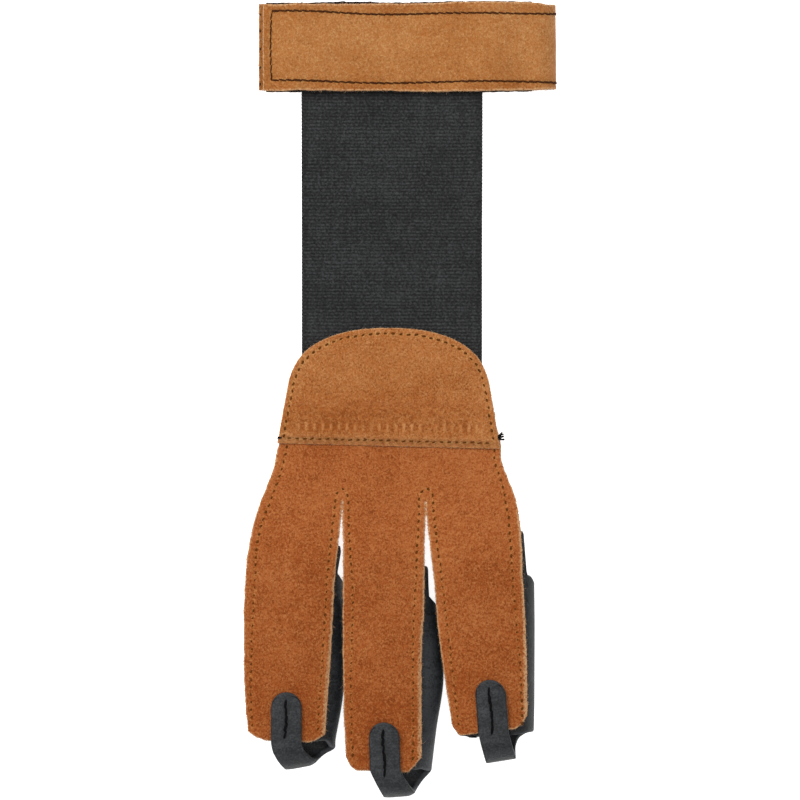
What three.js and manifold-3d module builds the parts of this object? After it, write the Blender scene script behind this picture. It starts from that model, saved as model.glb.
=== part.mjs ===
// Archery shooting glove for three fingers, lying palm down on a flat surface.
// A wrist strap, an elastic band and a crown patch carry a suede hand panel, which is slit into
// three finger strips. A leather stall is sewn under each strip. Its tongue wraps the fingertip.
// Millimetres. +Z is up from the surface, +Y runs from the fingertips to the wrist, and +X is to
// the right from above. The origin is on the surface under the middle of the whole glove.
import * as THREE from "three";
import { mergeVertices } from "three/addons/utils/BufferGeometryUtils.js";
import Module from "manifold-3d";

// Thickness of each material, and the clearance between layers that lie on each other
const suedeThickness = 1.8;
const stallThickness = 1.5;
const elasticThickness = 1.2;
const loopTapeThickness = 1.0;
const hookTapeThickness = 1.2;
const layerGap = 0.38;

// Crown patch, the rounded piece over the back of the hand
const handWidth = 62.7;
const crownHeight = 33;
const crownShoulderWidth = 57.8;
const crownShoulderHeight = 14.3;
const crownRoundness = 2.3;
const crownSkew = 1.6;
const crownOffset = -0.35;

// Hand panel, measured down from the crown's lower edge
const panelLap = 9.3;
const panelLapInset = 1.8;
const panelLength = 91.4;
const slitStart = 15.6;
const stripCrown = 0.8;
const tipCorner = 5;

// Finger stalls and the tongues at their tips
const stallHeight = 9.5;
const stallFlange = 4.6;
const stallEdgeInset = 0.3;
const stallEarShow = 1.4;
const stallTipSet = 4;
const entranceSlant = 5;
const tongueWidth = 8.5;
const tongueFillet = 5;
const tongueReach = 7.4;

// Elastic band
const elasticWidth = 50.8;
const elasticFreeLength = 66.6;
const elasticLap = 28.8;
const elasticTuck = 21;
const elasticOffset = 0.56;

// Wrist strap, one strip folded at its right end, with both ends closed on each other at the left
const strapWidth = 24.2;
const strapLength = 82.3;
const strapOffset = 5.5;
const strapFoldHeight = 12;
const strapBackExtra = 1.3;
const strapBackShift = 0.4;

// Hook and loop tapes inside the strap
const hookTapeLength = 29;
const hookTapeWidth = 20;
const tapeEndInset = 0.8;
const loopTapeShow = 0.3;

// The three strips. length is a share of panelLength, and stallLength of the strip's own length.
// ear is how far the stall's flanges run on past its entrance, as a share of the stall's length.
// tongue is how far its tongue laps back over the strip, as a share of the strip's length.
// tipSlant is the rise of the strip's tip from left to right, as a share of its width.
// lean and tongueShift are how far the stall's floor and the tongue's root lie to the right of the
// strip, as shares of stallHeight.
// swell holds how full the stall's right wall is, in shares of stallHeight: along runs from 0 at
// its entrance to 1 at its tip.
// edges holds the strip's two cut edges: along is a share of its length, left and right are
// shares of half the hand's width.
const strips = [
  {
    name: "left",
    length: 0.91,
    stallLength: 0.56,
    ear: 0.18,
    tongue: 0.17,
    tipSlant: -0.04,
    lean: 0.38,
    tongueShift: 0.45,
    swell: [
      { along: 0, fullness: 0 },
      { along: 0.35, fullness: 0.165 },
      { along: 0.7, fullness: 0.28 },
      { along: 1, fullness: 0.12 },
    ],
    edges: [
      { along: 0, left: -1, right: -0.424 },
      { along: 0.08, left: -1.05, right: -0.424 },
      { along: 0.18, left: -1.15, right: -0.424 },
      { along: 0.28, left: -1.232, right: -0.447 },
      { along: 0.45, left: -1.295, right: -0.488 },
      { along: 0.65, left: -1.307, right: -0.517 },
      { along: 0.85, left: -1.298, right: -0.552 },
      { along: 1, left: -1.263, right: -0.576 },
    ],
  },
  {
    name: "middle",
    length: 1,
    stallLength: 0.53,
    ear: 0.18,
    tongue: 0.146,
    tipSlant: -0.04,
    lean: 0.46,
    tongueShift: 0.44,
    swell: [
      { along: 0, fullness: 0.06 },
      { along: 0.25, fullness: 0.37 },
      { along: 0.47, fullness: 0.53 },
      { along: 0.75, fullness: 0.2 },
      { along: 1, fullness: 0 },
    ],
    edges: [
      { along: 0, left: -0.424, right: 0.325 },
      { along: 0.17, left: -0.424, right: 0.325 },
      { along: 0.3, left: -0.411, right: 0.313 },
      { along: 0.45, left: -0.421, right: 0.313 },
      { along: 0.65, left: -0.421, right: 0.287 },
      { along: 0.85, left: -0.411, right: 0.287 },
      { along: 1, left: -0.396, right: 0.287 },
    ],
  },
  {
    name: "right",
    length: 0.89,
    stallLength: 0.545,
    ear: 0.27,
    tongue: 0.194,
    tipSlant: 0.09,
    lean: 0.33,
    tongueShift: 0.34,
    swell: [
      { along: 0, fullness: 0.175 },
      { along: 0.5, fullness: 0.06 },
      { along: 1, fullness: 0 },
    ],
    edges: [
      { along: 0, left: 0.325, right: 1 },
      { along: 0.06, left: 0.325, right: 1.03 },
      { along: 0.18, left: 0.325, right: 1.125 },
      { along: 0.3, left: 0.354, right: 1.182 },
      { along: 0.45, left: 0.396, right: 1.199 },
      { along: 0.65, left: 0.45, right: 1.225 },
      { along: 0.85, left: 0.51, right: 1.238 },
      { along: 1, left: 0.571, right: 1.238 },
    ],
  },
];

// Colours and finishes
const suede = new THREE.MeshStandardMaterial({ color: 0xb06a35, roughness: 0.95, metalness: 0 });
const stallLeather = new THREE.MeshStandardMaterial({ color: 0x35363a, roughness: 0.55, metalness: 0 });
const elasticCloth = new THREE.MeshStandardMaterial({ color: 0x2b2c2f, roughness: 0.9, metalness: 0 });
const tapeCloth = new THREE.MeshStandardMaterial({ color: 0x1b1b1d, roughness: 0.95, metalness: 0 });

const wasm = await Module();
wasm.setup();

// 0 up to a, 1 from b on, with an S curve between them
function ease(a, b, at) {
  return THREE.MathUtils.smootherstep((at - a) / (b - a), 0, 1);
}

// One column of a table, read at any place along it on a smooth curve through its rows
function readColumn(rows, column, along) {
  const last = rows.length - 1;
  const slopeAt = (i) => {
    const [before, after] = [rows[Math.max(i - 1, 0)], rows[Math.min(i + 1, last)]];
    return (after[column] - before[column]) / (after.along - before.along);
  };
  let i = rows.findIndex((row, k) => k < last && along <= rows[k + 1].along);
  i = i < 0 ? last - 1 : i;
  const span = rows[i + 1].along - rows[i].along;
  const t = THREE.MathUtils.clamp((along - rows[i].along) / span, 0, 1);
  const [t2, t3] = [t * t, t * t * t];
  return (
    (2 * t3 - 3 * t2 + 1) * rows[i][column] +
    (t3 - 2 * t2 + t) * span * slopeAt(i) +
    (3 * t2 - 2 * t3) * rows[i + 1][column] +
    (t3 - t2) * span * slopeAt(i + 1)
  );
}

// count + 1 evenly spaced values from a to b
function steps(a, b, count) {
  return Array.from({ length: count + 1 }, (_, i) => a + ((b - a) * i) / count);
}

// A closed mesh as a manifold-3d solid, its shared vertices merged
function toSolid(geometry) {
  const bare = geometry.clone();
  bare.deleteAttribute("normal");
  bare.deleteAttribute("uv");
  const merged = mergeVertices(bare, 1e-4);
  return new wasm.Manifold(
    new wasm.Mesh({
      numProp: 3,
      vertProperties: merged.attributes.position.array,
      triVerts: new Uint32Array(merged.index.array),
    }),
  );
}

// A manifold-3d solid as a three.js geometry
function toGeometry(solid) {
  const mesh = solid.getMesh();
  const geometry = new THREE.BufferGeometry();
  geometry.setAttribute("position", new THREE.BufferAttribute(mesh.vertProperties, 3));
  geometry.setIndex(new THREE.BufferAttribute(mesh.triVerts, 1));
  geometry.computeVertexNormals();
  return geometry;
}

// A closed sheet. place(row, column) gives the [upper, lower] points of one place on it. Seen from
// the upper side, columns run to the right where rows run away.
function sheetGeometry(rows, columns, place) {
  const points = rows.map((row) => columns.map((column) => place(row, column)));
  const position = points.flat(2).flatMap((p) => [p.x, p.y, p.z]);
  const index = [];
  const at = (r, c, side) => 2 * (r * columns.length + c) + side;
  const quad = (a, b, c, d) => index.push(a, b, c, a, c, d);
  const [lastRow, lastColumn] = [rows.length - 1, columns.length - 1];
  for (let r = 0; r < lastRow; r++) {
    for (let c = 0; c < lastColumn; c++) {
      quad(at(r, c, 0), at(r, c + 1, 0), at(r + 1, c + 1, 0), at(r + 1, c, 0));
      quad(at(r, c, 1), at(r + 1, c, 1), at(r + 1, c + 1, 1), at(r, c + 1, 1));
    }
    quad(at(r, 0, 0), at(r + 1, 0, 0), at(r + 1, 0, 1), at(r, 0, 1));
    quad(at(r, lastColumn, 0), at(r, lastColumn, 1), at(r + 1, lastColumn, 1), at(r + 1, lastColumn, 0));
  }
  for (let c = 0; c < lastColumn; c++) {
    quad(at(0, c, 0), at(0, c, 1), at(0, c + 1, 1), at(0, c + 1, 0));
    quad(at(lastRow, c, 0), at(lastRow, c + 1, 0), at(lastRow, c + 1, 1), at(lastRow, c, 1));
  }
  const geometry = new THREE.BufferGeometry();
  geometry.setAttribute("position", new THREE.Float32BufferAttribute(position, 3));
  geometry.setIndex(index);
  geometry.computeVertexNormals();
  return geometry;
}

// A flat-cut piece of sheet laid over a height field: an upright prism of its outline, met with a
// slab whose underside is underside(x, y)
function drapedGeometry(outline, underside, thickness, columnCount, rowCount) {
  const margin = 2;
  const box = new THREE.Box2().setFromPoints(outline);
  const xs = steps(box.min.x - margin, box.max.x + margin, columnCount);
  const ys = steps(box.min.y - margin, box.max.y + margin, rowCount);
  const slab = sheetGeometry(ys, xs, (y, x) => {
    const z = underside(x, y);
    return [new THREE.Vector3(x, y, z + thickness), new THREE.Vector3(x, y, z)];
  });
  const prism = new THREE.ExtrudeGeometry(new THREE.Shape(outline), {
    depth: 10 * (stallHeight + thickness),
    bevelEnabled: false,
  });
  return toGeometry(toSolid(prism).intersect(toSolid(slab)));
}

// Heights and places that several pieces share
const halfHand = handWidth / 2;
const strapLower = crownHeight + elasticFreeLength;
const strapLeft = strapOffset - strapLength / 2;
const strapRight = strapOffset + strapLength / 2;
const foldRadius = strapFoldHeight / 2;
const foldStart = strapRight - foldRadius;
const hookRight = strapLeft + hookTapeLength;
const closedLoopBase = suedeThickness + hookTapeThickness + 2 * layerGap;
const openLoopBase = strapFoldHeight - suedeThickness - layerGap - loopTapeThickness;
const panelBase = elasticThickness + layerGap;
const stripBase = stallHeight + layerGap;

// Length of a strip, and the place of its tip and of its stall's entrance
const stripLength = (strip) => strip.length * panelLength;
const tipY = (strip) => -stripLength(strip);
const stallLength = (strip) => strip.stallLength * stripLength(strip);
const entranceY = (strip) => tipY(strip) + stallLength(strip);
const earTopY = (strip) => entranceY(strip) + strip.ear * stallLength(strip);
const firstEntrance = Math.max(...strips.map(entranceY));

// A strip's cut edge at a given y, on the side named left or right
function edgeX(strip, side, y) {
  return halfHand * readColumn(strip.edges, side, -y / stripLength(strip));
}

// Underside of the hand panel along its cut edges: flat on the elastic, then rising to the stalls
function edgeUnderside(y) {
  const riseStart = panelLap / 4;
  return panelBase + (stripBase - panelBase) * ease(riseStart, firstEntrance, y);
}

// Underside of the hand panel anywhere: each strip is a little higher along its middle
function panelUnderside(x, y) {
  const swell = strips.map((strip) => {
    const [left, right] = [edgeX(strip, "left", y), edgeX(strip, "right", y)];
    const across = (2 * x - left - right) / (right - left);
    return Math.max(0, 1 - across * across);
  });
  return edgeUnderside(y) + stripCrown * Math.max(...swell) * ease(-slitStart, firstEntrance, y);
}

// Underside of the crown patch: on the elastic, then up over the hand panel's hidden upper edge
function crownUnderside(x, y) {
  const overPanel = ease(panelLap + crownShoulderHeight / 3, panelLap, y);
  return edgeUnderside(y) + (suedeThickness + layerGap) * overPanel;
}

// Underside of the loop tape across the strap: closed on the hook tape, then rising to the fold
function loopUnderside(x) {
  return closedLoopBase + (openLoopBase - closedLoopBase) * ease(hookRight, foldStart, x);
}

// Underside of the strap's front layer, which lifts over the elastic that is sewn in under it
function strapFrontUnderside(x) {
  const elasticLeft = elasticOffset - elasticWidth / 2 - layerGap;
  const elasticRight = elasticOffset + elasticWidth / 2 + layerGap;
  const lift = ease(strapLeft + tapeEndInset, elasticLeft, x) * ease(foldStart, elasticRight, x);
  return loopUnderside(x) + loopTapeThickness + layerGap + (elasticThickness + layerGap) * lift;
}

// Underside of the elastic: between the strap's layers at the top, on the surface further down
function elasticUnderside(x, y) {
  const lift = ease(crownHeight + elasticFreeLength / 8, strapLower - layerGap, y);
  return lift * (loopUnderside(x) + loopTapeThickness + layerGap);
}

// Crown outline: straight sides up to the shoulders, then a superellipse over the top
function crownOutline() {
  const power = 2 / crownRoundness;
  const rise = crownHeight - crownShoulderHeight;
  const arch = steps(0, Math.PI, 28).map((angle) => {
    const [c, s] = [Math.cos(angle), Math.sin(angle)];
    const x = crownOffset + (crownShoulderWidth / 2) * Math.sign(c) * Math.abs(c) ** power;
    return new THREE.Vector2(x, crownShoulderHeight + rise * s ** power);
  });
  return [
    new THREE.Vector2(crownOffset - halfHand, crownSkew / 3),
    new THREE.Vector2(crownOffset + halfHand, crownSkew / 3 - crownSkew),
    ...arch,
  ];
}

// One strip's cut outline, down its left edge, round its tip and up its right edge
function stripOutline(strip, topLeft, topRight) {
  const tip = tipY(strip);
  const cornerTop = tip + tipCorner;
  const down = steps(topLeft, cornerTop, 14).map((y) => new THREE.Vector2(edgeX(strip, "left", y), y));
  const up = steps(cornerTop, topRight, 14).map((y) => new THREE.Vector2(edgeX(strip, "right", y), y));
  const [left, right] = [edgeX(strip, "left", tip), edgeX(strip, "right", tip)];
  const tipAt = (x) => new THREE.Vector2(x, tip + strip.tipSlant * (x - (left + right) / 2));
  const cornerAt = (from, corner, to) =>
    new THREE.QuadraticBezierCurve(from, corner, to).getPoints(4).slice(1);
  const [leftFoot, rightFoot] = [tipAt(left + tipCorner), tipAt(right - tipCorner)];
  return [
    ...down,
    ...cornerAt(down.at(-1), tipAt(left), leftFoot),
    rightFoot,
    ...cornerAt(rightFoot, tipAt(right), up[0]).slice(0, -1),
    ...up,
  ];
}

// Hand panel outline: under the crown at the top, then the three strips with a slit between each
function panelOutline() {
  const [left, middle, right] = strips;
  const lapHalf = halfHand - panelLapInset;
  return [
    new THREE.Vector2(lapHalf, panelLap),
    new THREE.Vector2(-lapHalf, panelLap),
    ...stripOutline(left, 0, -slitStart),
    ...stripOutline(middle, -slitStart, -slitStart).slice(1),
    ...stripOutline(right, -slitStart, 0).slice(1),
  ];
}

// The middle line of a stall's section at y, from its left flange round under the finger to its
// right flange, as points with outward normals in the XZ plane
function stallSection(strip, y) {
  const toTip = THREE.MathUtils.clamp((entranceY(strip) - y) / stallLength(strip), 0, 1);
  const open = ease(earTopY(strip), entranceY(strip), y);
  const lean = stallHeight * strip.lean * open;
  const fullness = stallHeight * readColumn(strip.swell, "fullness", toTip) * open;
  const left = edgeX(strip, "left", y) + stallEdgeInset;
  const right = edgeX(strip, "right", y) - stallEdgeInset + stallEarShow * (1 - open);
  const top = edgeUnderside(y) - layerGap - stallThickness / 2;
  const bottom = stallThickness / 2;
  const fold = stallThickness * 1.5;
  const foot = stallHeight * 0.36;
  const tuck = stallHeight * 0.22;
  const V = (x, z) => new THREE.Vector2(x, z);
  const path = new THREE.CurvePath();
  path.add(new THREE.LineCurve(V(left + stallFlange, top), V(left + fold, top)));
  path.add(
    new THREE.CubicBezierCurve(
      V(left + fold, top),
      V(left - fold / 4, top),
      V(left + lean - tuck, bottom),
      V(left + lean + foot, bottom),
    ),
  );
  path.add(new THREE.LineCurve(V(left + lean + foot, bottom), V(right + lean - foot, bottom)));
  path.add(
    new THREE.CubicBezierCurve(
      V(right + lean - foot, bottom),
      V(right + lean + fullness, bottom),
      V(right + fold / 4 + fullness, top),
      V(right - fold, top),
    ),
  );
  path.add(new THREE.LineCurve(V(right - fold, top), V(right - stallFlange, top)));
  const counts = [1, 8, 3, 8, 1];
  return path.curves.flatMap((curve, k) =>
    steps(0, 1, counts[k])
      .slice(k === 0 ? 0 : 1)
      .map((t) => {
        const point = curve.getPoint(t);
        const along = curve.getTangent(t);
        return { point, normal: V(along.y, -along.x) };
      }),
  );
}

// The stall's sewn sleeve: its section carried from the ears to the tip, then cut open under the
// ears by a prism whose edge slants back to the entrance
function stallSleeve(strip) {
  const [ear, entrance, tip] = [earTopY(strip), entranceY(strip), tipY(strip)];
  const rows = [...steps(ear, entrance, 3), ...steps(entrance, tip, 7).slice(1)];
  const columns = stallSection(strip, tip).map((_, i) => i);
  const half = stallThickness / 2;
  // The sleeve's end slants: it is set back from the strip's tip on its left side
  const setBack = (y, i) => {
    const toTip = THREE.MathUtils.clamp((entrance - y) / (entrance - tip), 0, 1);
    return y + stallTipSet * toTip * (1 - i / columns.at(-1));
  };
  const sleeve = sheetGeometry(rows, columns, (row, i) => {
    const y = setBack(row, i);
    const { point, normal } = stallSection(strip, y)[i];
    return [half, -half].map(
      (d) => new THREE.Vector3(point.x + normal.x * d, y, point.y + normal.y * d),
    );
  });
  const shave = stallThickness / 15;
  const flangeFoot = (y) => edgeUnderside(y) - layerGap - stallThickness + shave;
  const past = ear + stallHeight;
  const cutShape = new THREE.Shape([
    new THREE.Vector2(entrance - entranceSlant, -stallHeight),
    new THREE.Vector2(past, -stallHeight),
    ...steps(past, entrance, 6).map((y) => new THREE.Vector2(y, flangeFoot(y))),
    new THREE.Vector2(entrance - entranceSlant, stallHeight / 4),
  ]);
  const reach = 2 * handWidth;
  const cutter = new THREE.ExtrudeGeometry(cutShape, { depth: 2 * reach, bevelEnabled: false });
  // The shape is drawn in the YZ plane: its x becomes Y, its y becomes Z, its depth becomes X
  const turn = new THREE.Matrix4().set(0, 0, 1, -reach, 1, 0, 0, 0, 0, 1, 0, 0, 0, 0, 0, 1);
  cutter.applyMatrix4(turn);
  return toSolid(sleeve).subtract(toSolid(cutter));
}

// The tongue: from the stall's floor round the fingertip and back over the strip, in the YZ plane.
// It slants left on the upper half of its bend, because its root lies to the right
function stallTongue(strip) {
  const tip = tipY(strip);
  const shift = stallHeight * strip.tongueShift;
  const lap = strip.tongue * stripLength(strip);
  const [left, right] = [edgeX(strip, "left", tip), edgeX(strip, "right", tip)];
  const topX = (left + right) / 2;
  const low = stallThickness / 2;
  const high = stripBase + stripCrown + suedeThickness + layerGap + stallThickness / 2;
  const root = tongueFillet;
  const wrap = (tongueReach - stallThickness / 2) / 0.75;
  const V = (y, z) => new THREE.Vector2(y, z);
  const path = new THREE.CurvePath();
  path.add(new THREE.LineCurve(V(tip + root, low), V(tip - low, low)));
  path.add(
    new THREE.CubicBezierCurve(V(tip - low, low), V(tip - wrap, low), V(tip - wrap, high), V(tip + low, high)),
  );
  path.add(new THREE.LineCurve(V(tip + low, high), V(tip + lap, high)));
  const half = tongueWidth / 2;
  // Extra width at the root: a round fillet from the stall's shoulder into the tongue
  const flareAt = (y) => {
    const out = THREE.MathUtils.clamp(tip - y, 0, tongueFillet);
    return tongueFillet - Math.sqrt(tongueFillet ** 2 - (tongueFillet - out) ** 2);
  };
  // Half width at the round end
  const endHalf = (y) => {
    const past = THREE.MathUtils.clamp(y - (tip + lap - half), 0, 0.97 * half);
    return Math.sqrt(half ** 2 - past ** 2);
  };
  const counts = [2, 14, 8];
  const stations = path.curves.flatMap((curve, k) =>
    steps(0, 1, counts[k])
      .slice(k === 0 ? 0 : 1)
      .map((t) => {
        // The round end has its stations closer together towards the tongue's end
        const point = curve.getPoint(k === 2 ? Math.sin((t * Math.PI) / 2) : t);
        const along = curve.getTangent(t);
        const over = [0, Math.max(0, 2 * t - 1), 1][k];
        const centre = topX + shift * (1 - over * over);
        const flare = point.y < 3 * low ? flareAt(point.x) : 0;
        const halfWidth = k === 2 ? endHalf(point.x) : half;
        return { point, normal: V(along.y, -along.x), centre, halfWidth, flare };
      }),
  );
  // The fillet is full on the right, where the stall shows, and slight on the left
  const sideways = (station, across) =>
    across * (station.halfWidth + station.flare * (across < 0 ? 1 : 0.2));
  const thick = stallThickness / 2;
  return sheetGeometry(stations, steps(-1, 1, 4), (station, across) =>
    [thick, -thick].map(
      (d) =>
        new THREE.Vector3(
          station.centre - sideways(station, across),
          station.point.x + station.normal.x * d,
          station.point.y + station.normal.y * d,
        ),
    ),
  );
}

// A whole stall, cut from one piece of leather: the sleeve and its tongue as one solid
function stallGeometry(strip) {
  return toGeometry(stallSleeve(strip).add(toSolid(stallTongue(strip))));
}

// Elastic band, from under the crown patch to between the strap's layers
function elasticGeometry() {
  const xs = steps(elasticOffset - elasticWidth / 2, elasticOffset + elasticWidth / 2, 12);
  const lower = crownHeight - elasticLap;
  const ys = [
    ...steps(lower, crownHeight, 2),
    ...steps(crownHeight, strapLower, 16).slice(1),
    strapLower + elasticTuck,
  ];
  return sheetGeometry(ys, xs, (y, x) => {
    const z = elasticUnderside(x, y);
    return [new THREE.Vector3(x, y, z + elasticThickness), new THREE.Vector3(x, y, z)];
  });
}

// Wrist strap: front layer, round fold and back layer as one strip, in the XZ plane
function strapGeometry() {
  const half = suedeThickness / 2;
  const bend = foldRadius - half;
  const front = steps(strapLeft, foldStart, 36).map((x) => {
    const z = strapFrontUnderside(x) + half;
    return { x, z, nx: 0, nz: 1, back: 0 };
  });
  const fold = steps(Math.PI / 2, -Math.PI / 2, 12)
    .slice(1, -1)
    .map((angle) => {
      const [nx, nz] = [Math.cos(angle), Math.sin(angle)];
      return { x: foldStart + bend * nx, z: foldRadius + bend * nz, nx, nz, back: (1 - nz) / 2 };
    });
  const back = steps(foldStart, strapLeft - strapBackExtra, 2).map((x) => {
    return { x, z: half, nx: 0, nz: -1, back: 1 };
  });
  return sheetGeometry([strapLower, strapLower + strapWidth], [...front, ...fold, ...back], (y, p) =>
    [half, -half].map(
      (d) => new THREE.Vector3(p.x + p.nx * d, y + strapBackShift * p.back, p.z + p.nz * d),
    ),
  );
}

// Loop tape, sewn along the inside of the strap's front layer
function loopTapeGeometry() {
  const xs = steps(strapLeft + tapeEndInset, foldStart - tapeEndInset, 30);
  const ys = [strapLower - loopTapeShow, strapLower + strapWidth - loopTapeShow];
  return sheetGeometry(ys, xs, (y, x) => {
    const z = loopUnderside(x);
    return [new THREE.Vector3(x, y, z + loopTapeThickness), new THREE.Vector3(x, y, z)];
  });
}

// Hook tape, sewn to the inside of the strap's back layer at its end
function hookTapeGeometry() {
  const length = hookTapeLength - tapeEndInset;
  const tape = new THREE.BoxGeometry(length, hookTapeWidth, hookTapeThickness);
  tape.translate(
    hookRight - length / 2,
    strapLower + strapBackShift + strapWidth / 2,
    suedeThickness + layerGap + hookTapeThickness / 2,
  );
  return tape;
}

function namedMesh(name, geometry, material) {
  const mesh = new THREE.Mesh(geometry, material);
  mesh.name = name;
  return mesh;
}

const glove = new THREE.Group();
glove.add(namedMesh("wrist_strap", strapGeometry(), suede));
glove.add(namedMesh("loop_tape", loopTapeGeometry(), tapeCloth));
glove.add(namedMesh("hook_tape", hookTapeGeometry(), tapeCloth));
glove.add(namedMesh("elastic_band", elasticGeometry(), elasticCloth));
glove.add(
  namedMesh("crown_patch", drapedGeometry(crownOutline(), crownUnderside, suedeThickness, 4, 12), suede),
);
glove.add(
  namedMesh("hand_panel", drapedGeometry(panelOutline(), panelUnderside, suedeThickness, 20, 22), suede),
);
for (const strip of strips) {
  glove.add(namedMesh("finger_stall_" + strip.name, stallGeometry(strip), stallLeather));
}

// The origin goes to the middle of the glove's outline, at the height of its lowest point
const bounds = new THREE.Box3().setFromObject(glove);
const centre = bounds.getCenter(new THREE.Vector3());
glove.position.set(-centre.x, -centre.y, -bounds.min.z);

export default glove;
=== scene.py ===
"""Archery glove: its suede, stall leather, ribbed elastic and sewing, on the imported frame.

Shapes are worked out in millimetres in the glove's own plane. Its origin is on the surface, under
the middle of the crown patch's lower edge, with X across the hand and Y from fingertips to wrist.
place() turns them into the frame's metres.
"""

import math

import bpy
import numpy as np
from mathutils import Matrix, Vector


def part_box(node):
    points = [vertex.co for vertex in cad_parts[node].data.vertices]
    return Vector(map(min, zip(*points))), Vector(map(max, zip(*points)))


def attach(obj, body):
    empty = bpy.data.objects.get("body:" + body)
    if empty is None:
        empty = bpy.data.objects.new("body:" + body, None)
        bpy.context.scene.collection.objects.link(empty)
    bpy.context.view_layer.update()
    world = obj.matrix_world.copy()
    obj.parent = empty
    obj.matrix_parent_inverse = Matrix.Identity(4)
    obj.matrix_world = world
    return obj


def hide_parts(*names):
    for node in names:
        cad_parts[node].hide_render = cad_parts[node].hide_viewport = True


bl_info = {
    "name": "Archery glove",
    "version": (1, 0, 0),
    "blender": (4, 5, 0),
    "location": "View3D > Sidebar > Glove",
    "description": "Makes a three-finger archery glove of suede, leather and elastic, lying palm down",
    "category": "Add Mesh",
}

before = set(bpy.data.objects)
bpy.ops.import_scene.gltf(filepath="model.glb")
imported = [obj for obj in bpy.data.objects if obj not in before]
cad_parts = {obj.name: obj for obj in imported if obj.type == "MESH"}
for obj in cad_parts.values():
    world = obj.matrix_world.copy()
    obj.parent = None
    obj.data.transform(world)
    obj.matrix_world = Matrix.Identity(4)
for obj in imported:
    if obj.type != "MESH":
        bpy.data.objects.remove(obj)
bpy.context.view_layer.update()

MM = 0.001

# Thickness of each material, and the clearance between layers
SUEDE = 1.8
STALL = 1.5
ELASTIC = 1.2
LOOP_TAPE = 1.0
HOOK_TAPE = 1.2
GAP = 0.38

# Crown patch
HALF_HAND = 62.7 / 2
CROWN_HEIGHT = 33
CROWN_SHOULDER = 57.8 / 2
CROWN_SHOULDER_HEIGHT = 14.3
CROWN_ROUNDNESS = 2.3
CROWN_SKEW = 1.6
CROWN_OFFSET = -0.35

# Hand panel
PANEL_LAP = 9.3
PANEL_LAP_INSET = 1.8
PANEL_LENGTH = 91.4
SLIT_START = 15.6
STRIP_CROWN = 0.8

# Finger stalls and their tongues
STALL_HEIGHT = 9.5
STALL_FLANGE = 4.6
STALL_EDGE_INSET = 0.3
STALL_EAR_SHOW = 1.4
STALL_TIP_SET = 4
ENTRANCE_SLANT = 5
MOUTH_REACH = 1.7
TONGUE_HALF = 8.5 / 2
TONGUE_FILLET = 6.4
TONGUE_REACH = 7.4

# Elastic band
ELASTIC_WIDTH = 50.8
ELASTIC_FREE = 66.6
ELASTIC_LAP = 28.8
ELASTIC_TUCK = 21
ELASTIC_OFFSET = 0.56

# Wrist strap and the tapes inside it
STRAP_WIDTH = 24.2
STRAP_LENGTH = 82.3
STRAP_OFFSET = 5.5
STRAP_FOLD_HEIGHT = 12
STRAP_BACK_EXTRA = 1.3
STRAP_BACK_SHIFT = 0.4
HOOK_TAPE_LENGTH = 29
HOOK_TAPE_WIDTH = 20
TAPE_END_INSET = 0.8
LOOP_TAPE_SHOW = 0.3

# Places that follow from the sizes
STRAP_LOWER = CROWN_HEIGHT + ELASTIC_FREE
STRAP_LEFT = STRAP_OFFSET - STRAP_LENGTH / 2
STRAP_RIGHT = STRAP_OFFSET + STRAP_LENGTH / 2
FOLD_RADIUS = STRAP_FOLD_HEIGHT / 2
FOLD_START = STRAP_RIGHT - FOLD_RADIUS
HOOK_RIGHT = STRAP_LEFT + HOOK_TAPE_LENGTH
CLOSED_LOOP_BASE = SUEDE + HOOK_TAPE + 2 * GAP
OPEN_LOOP_BASE = STRAP_FOLD_HEIGHT - SUEDE - GAP - LOOP_TAPE
PANEL_BASE = ELASTIC + GAP
STRIP_BASE = STALL_HEIGHT + GAP
CROWN_SLOPE = CROWN_SKEW / (2 * HALF_HAND)

# Seams and threads. The panel's outer seams start at a place in Y, and all its seams end short of
# the strips' tips.
CROWN_SEAM_INSET = 1.6
CROWN_FOOT_SEAM = 1.5
LEFT_SEAM_START, LEFT_SEAM_END = 0.6, 3.4
RIGHT_SEAM_START, RIGHT_SEAM_END = -0.4, 2.4
SLIT_SEAM_END = 2.6
SLIT_ARCH = 1.8
STRAP_END_SEAM = 2.45
SEAM_DIP = 0.15
SEAM_DIP_WIDTH = 0.55
THREAD_SIDES = 7
THREAD_RINGS = 5
TAIL_RADIUS = 0.22
TAIL_ARCH = 0.1
FIBRE_RADIUS = 0.055

# The crown's pressed band: its height, its slope, half its length, and the pitch of its ridges
PRESS_LEVEL = 4.93
PRESS_SLOPE = -0.011
PRESS_HALF = 25.5
PRESS_PITCH = 2.28

# Width of one loop of the elastic's weft
LOOP_WIDTH = 1.26

# How much thinner the crown and the panel are than their solids, so that their waves stay clear
# of what is under them
SUEDE_SLACK = 0.4

# Columns of a sheet's grid beside its cut edges, as distances from them
EDGE_COLUMNS = (0, 0.3, 0.65, 1.0, 1.35, 1.65, 2.0, 2.35, 2.7, 3.2, 3.9)

# Shares of a stall's section where its flange, wall, floor, wall and flange begin and end, and
# the two shares between which the tongue carries on from it
SECTION = (0.0, 0.07, 0.42, 0.58, 0.93, 1.0)
TONGUE_FROM, TONGUE_TO = 0.36, 0.72

# The camera stands straight above, in metres. The picture is 800 points of 0.2807 mm wide at the
# height VIEW_LEVEL.
CAMERA_HEIGHT = 1.6
VIEW_LEVEL = 0.008
VIEW_WIDTH = 800 * 0.2807 * MM

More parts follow.
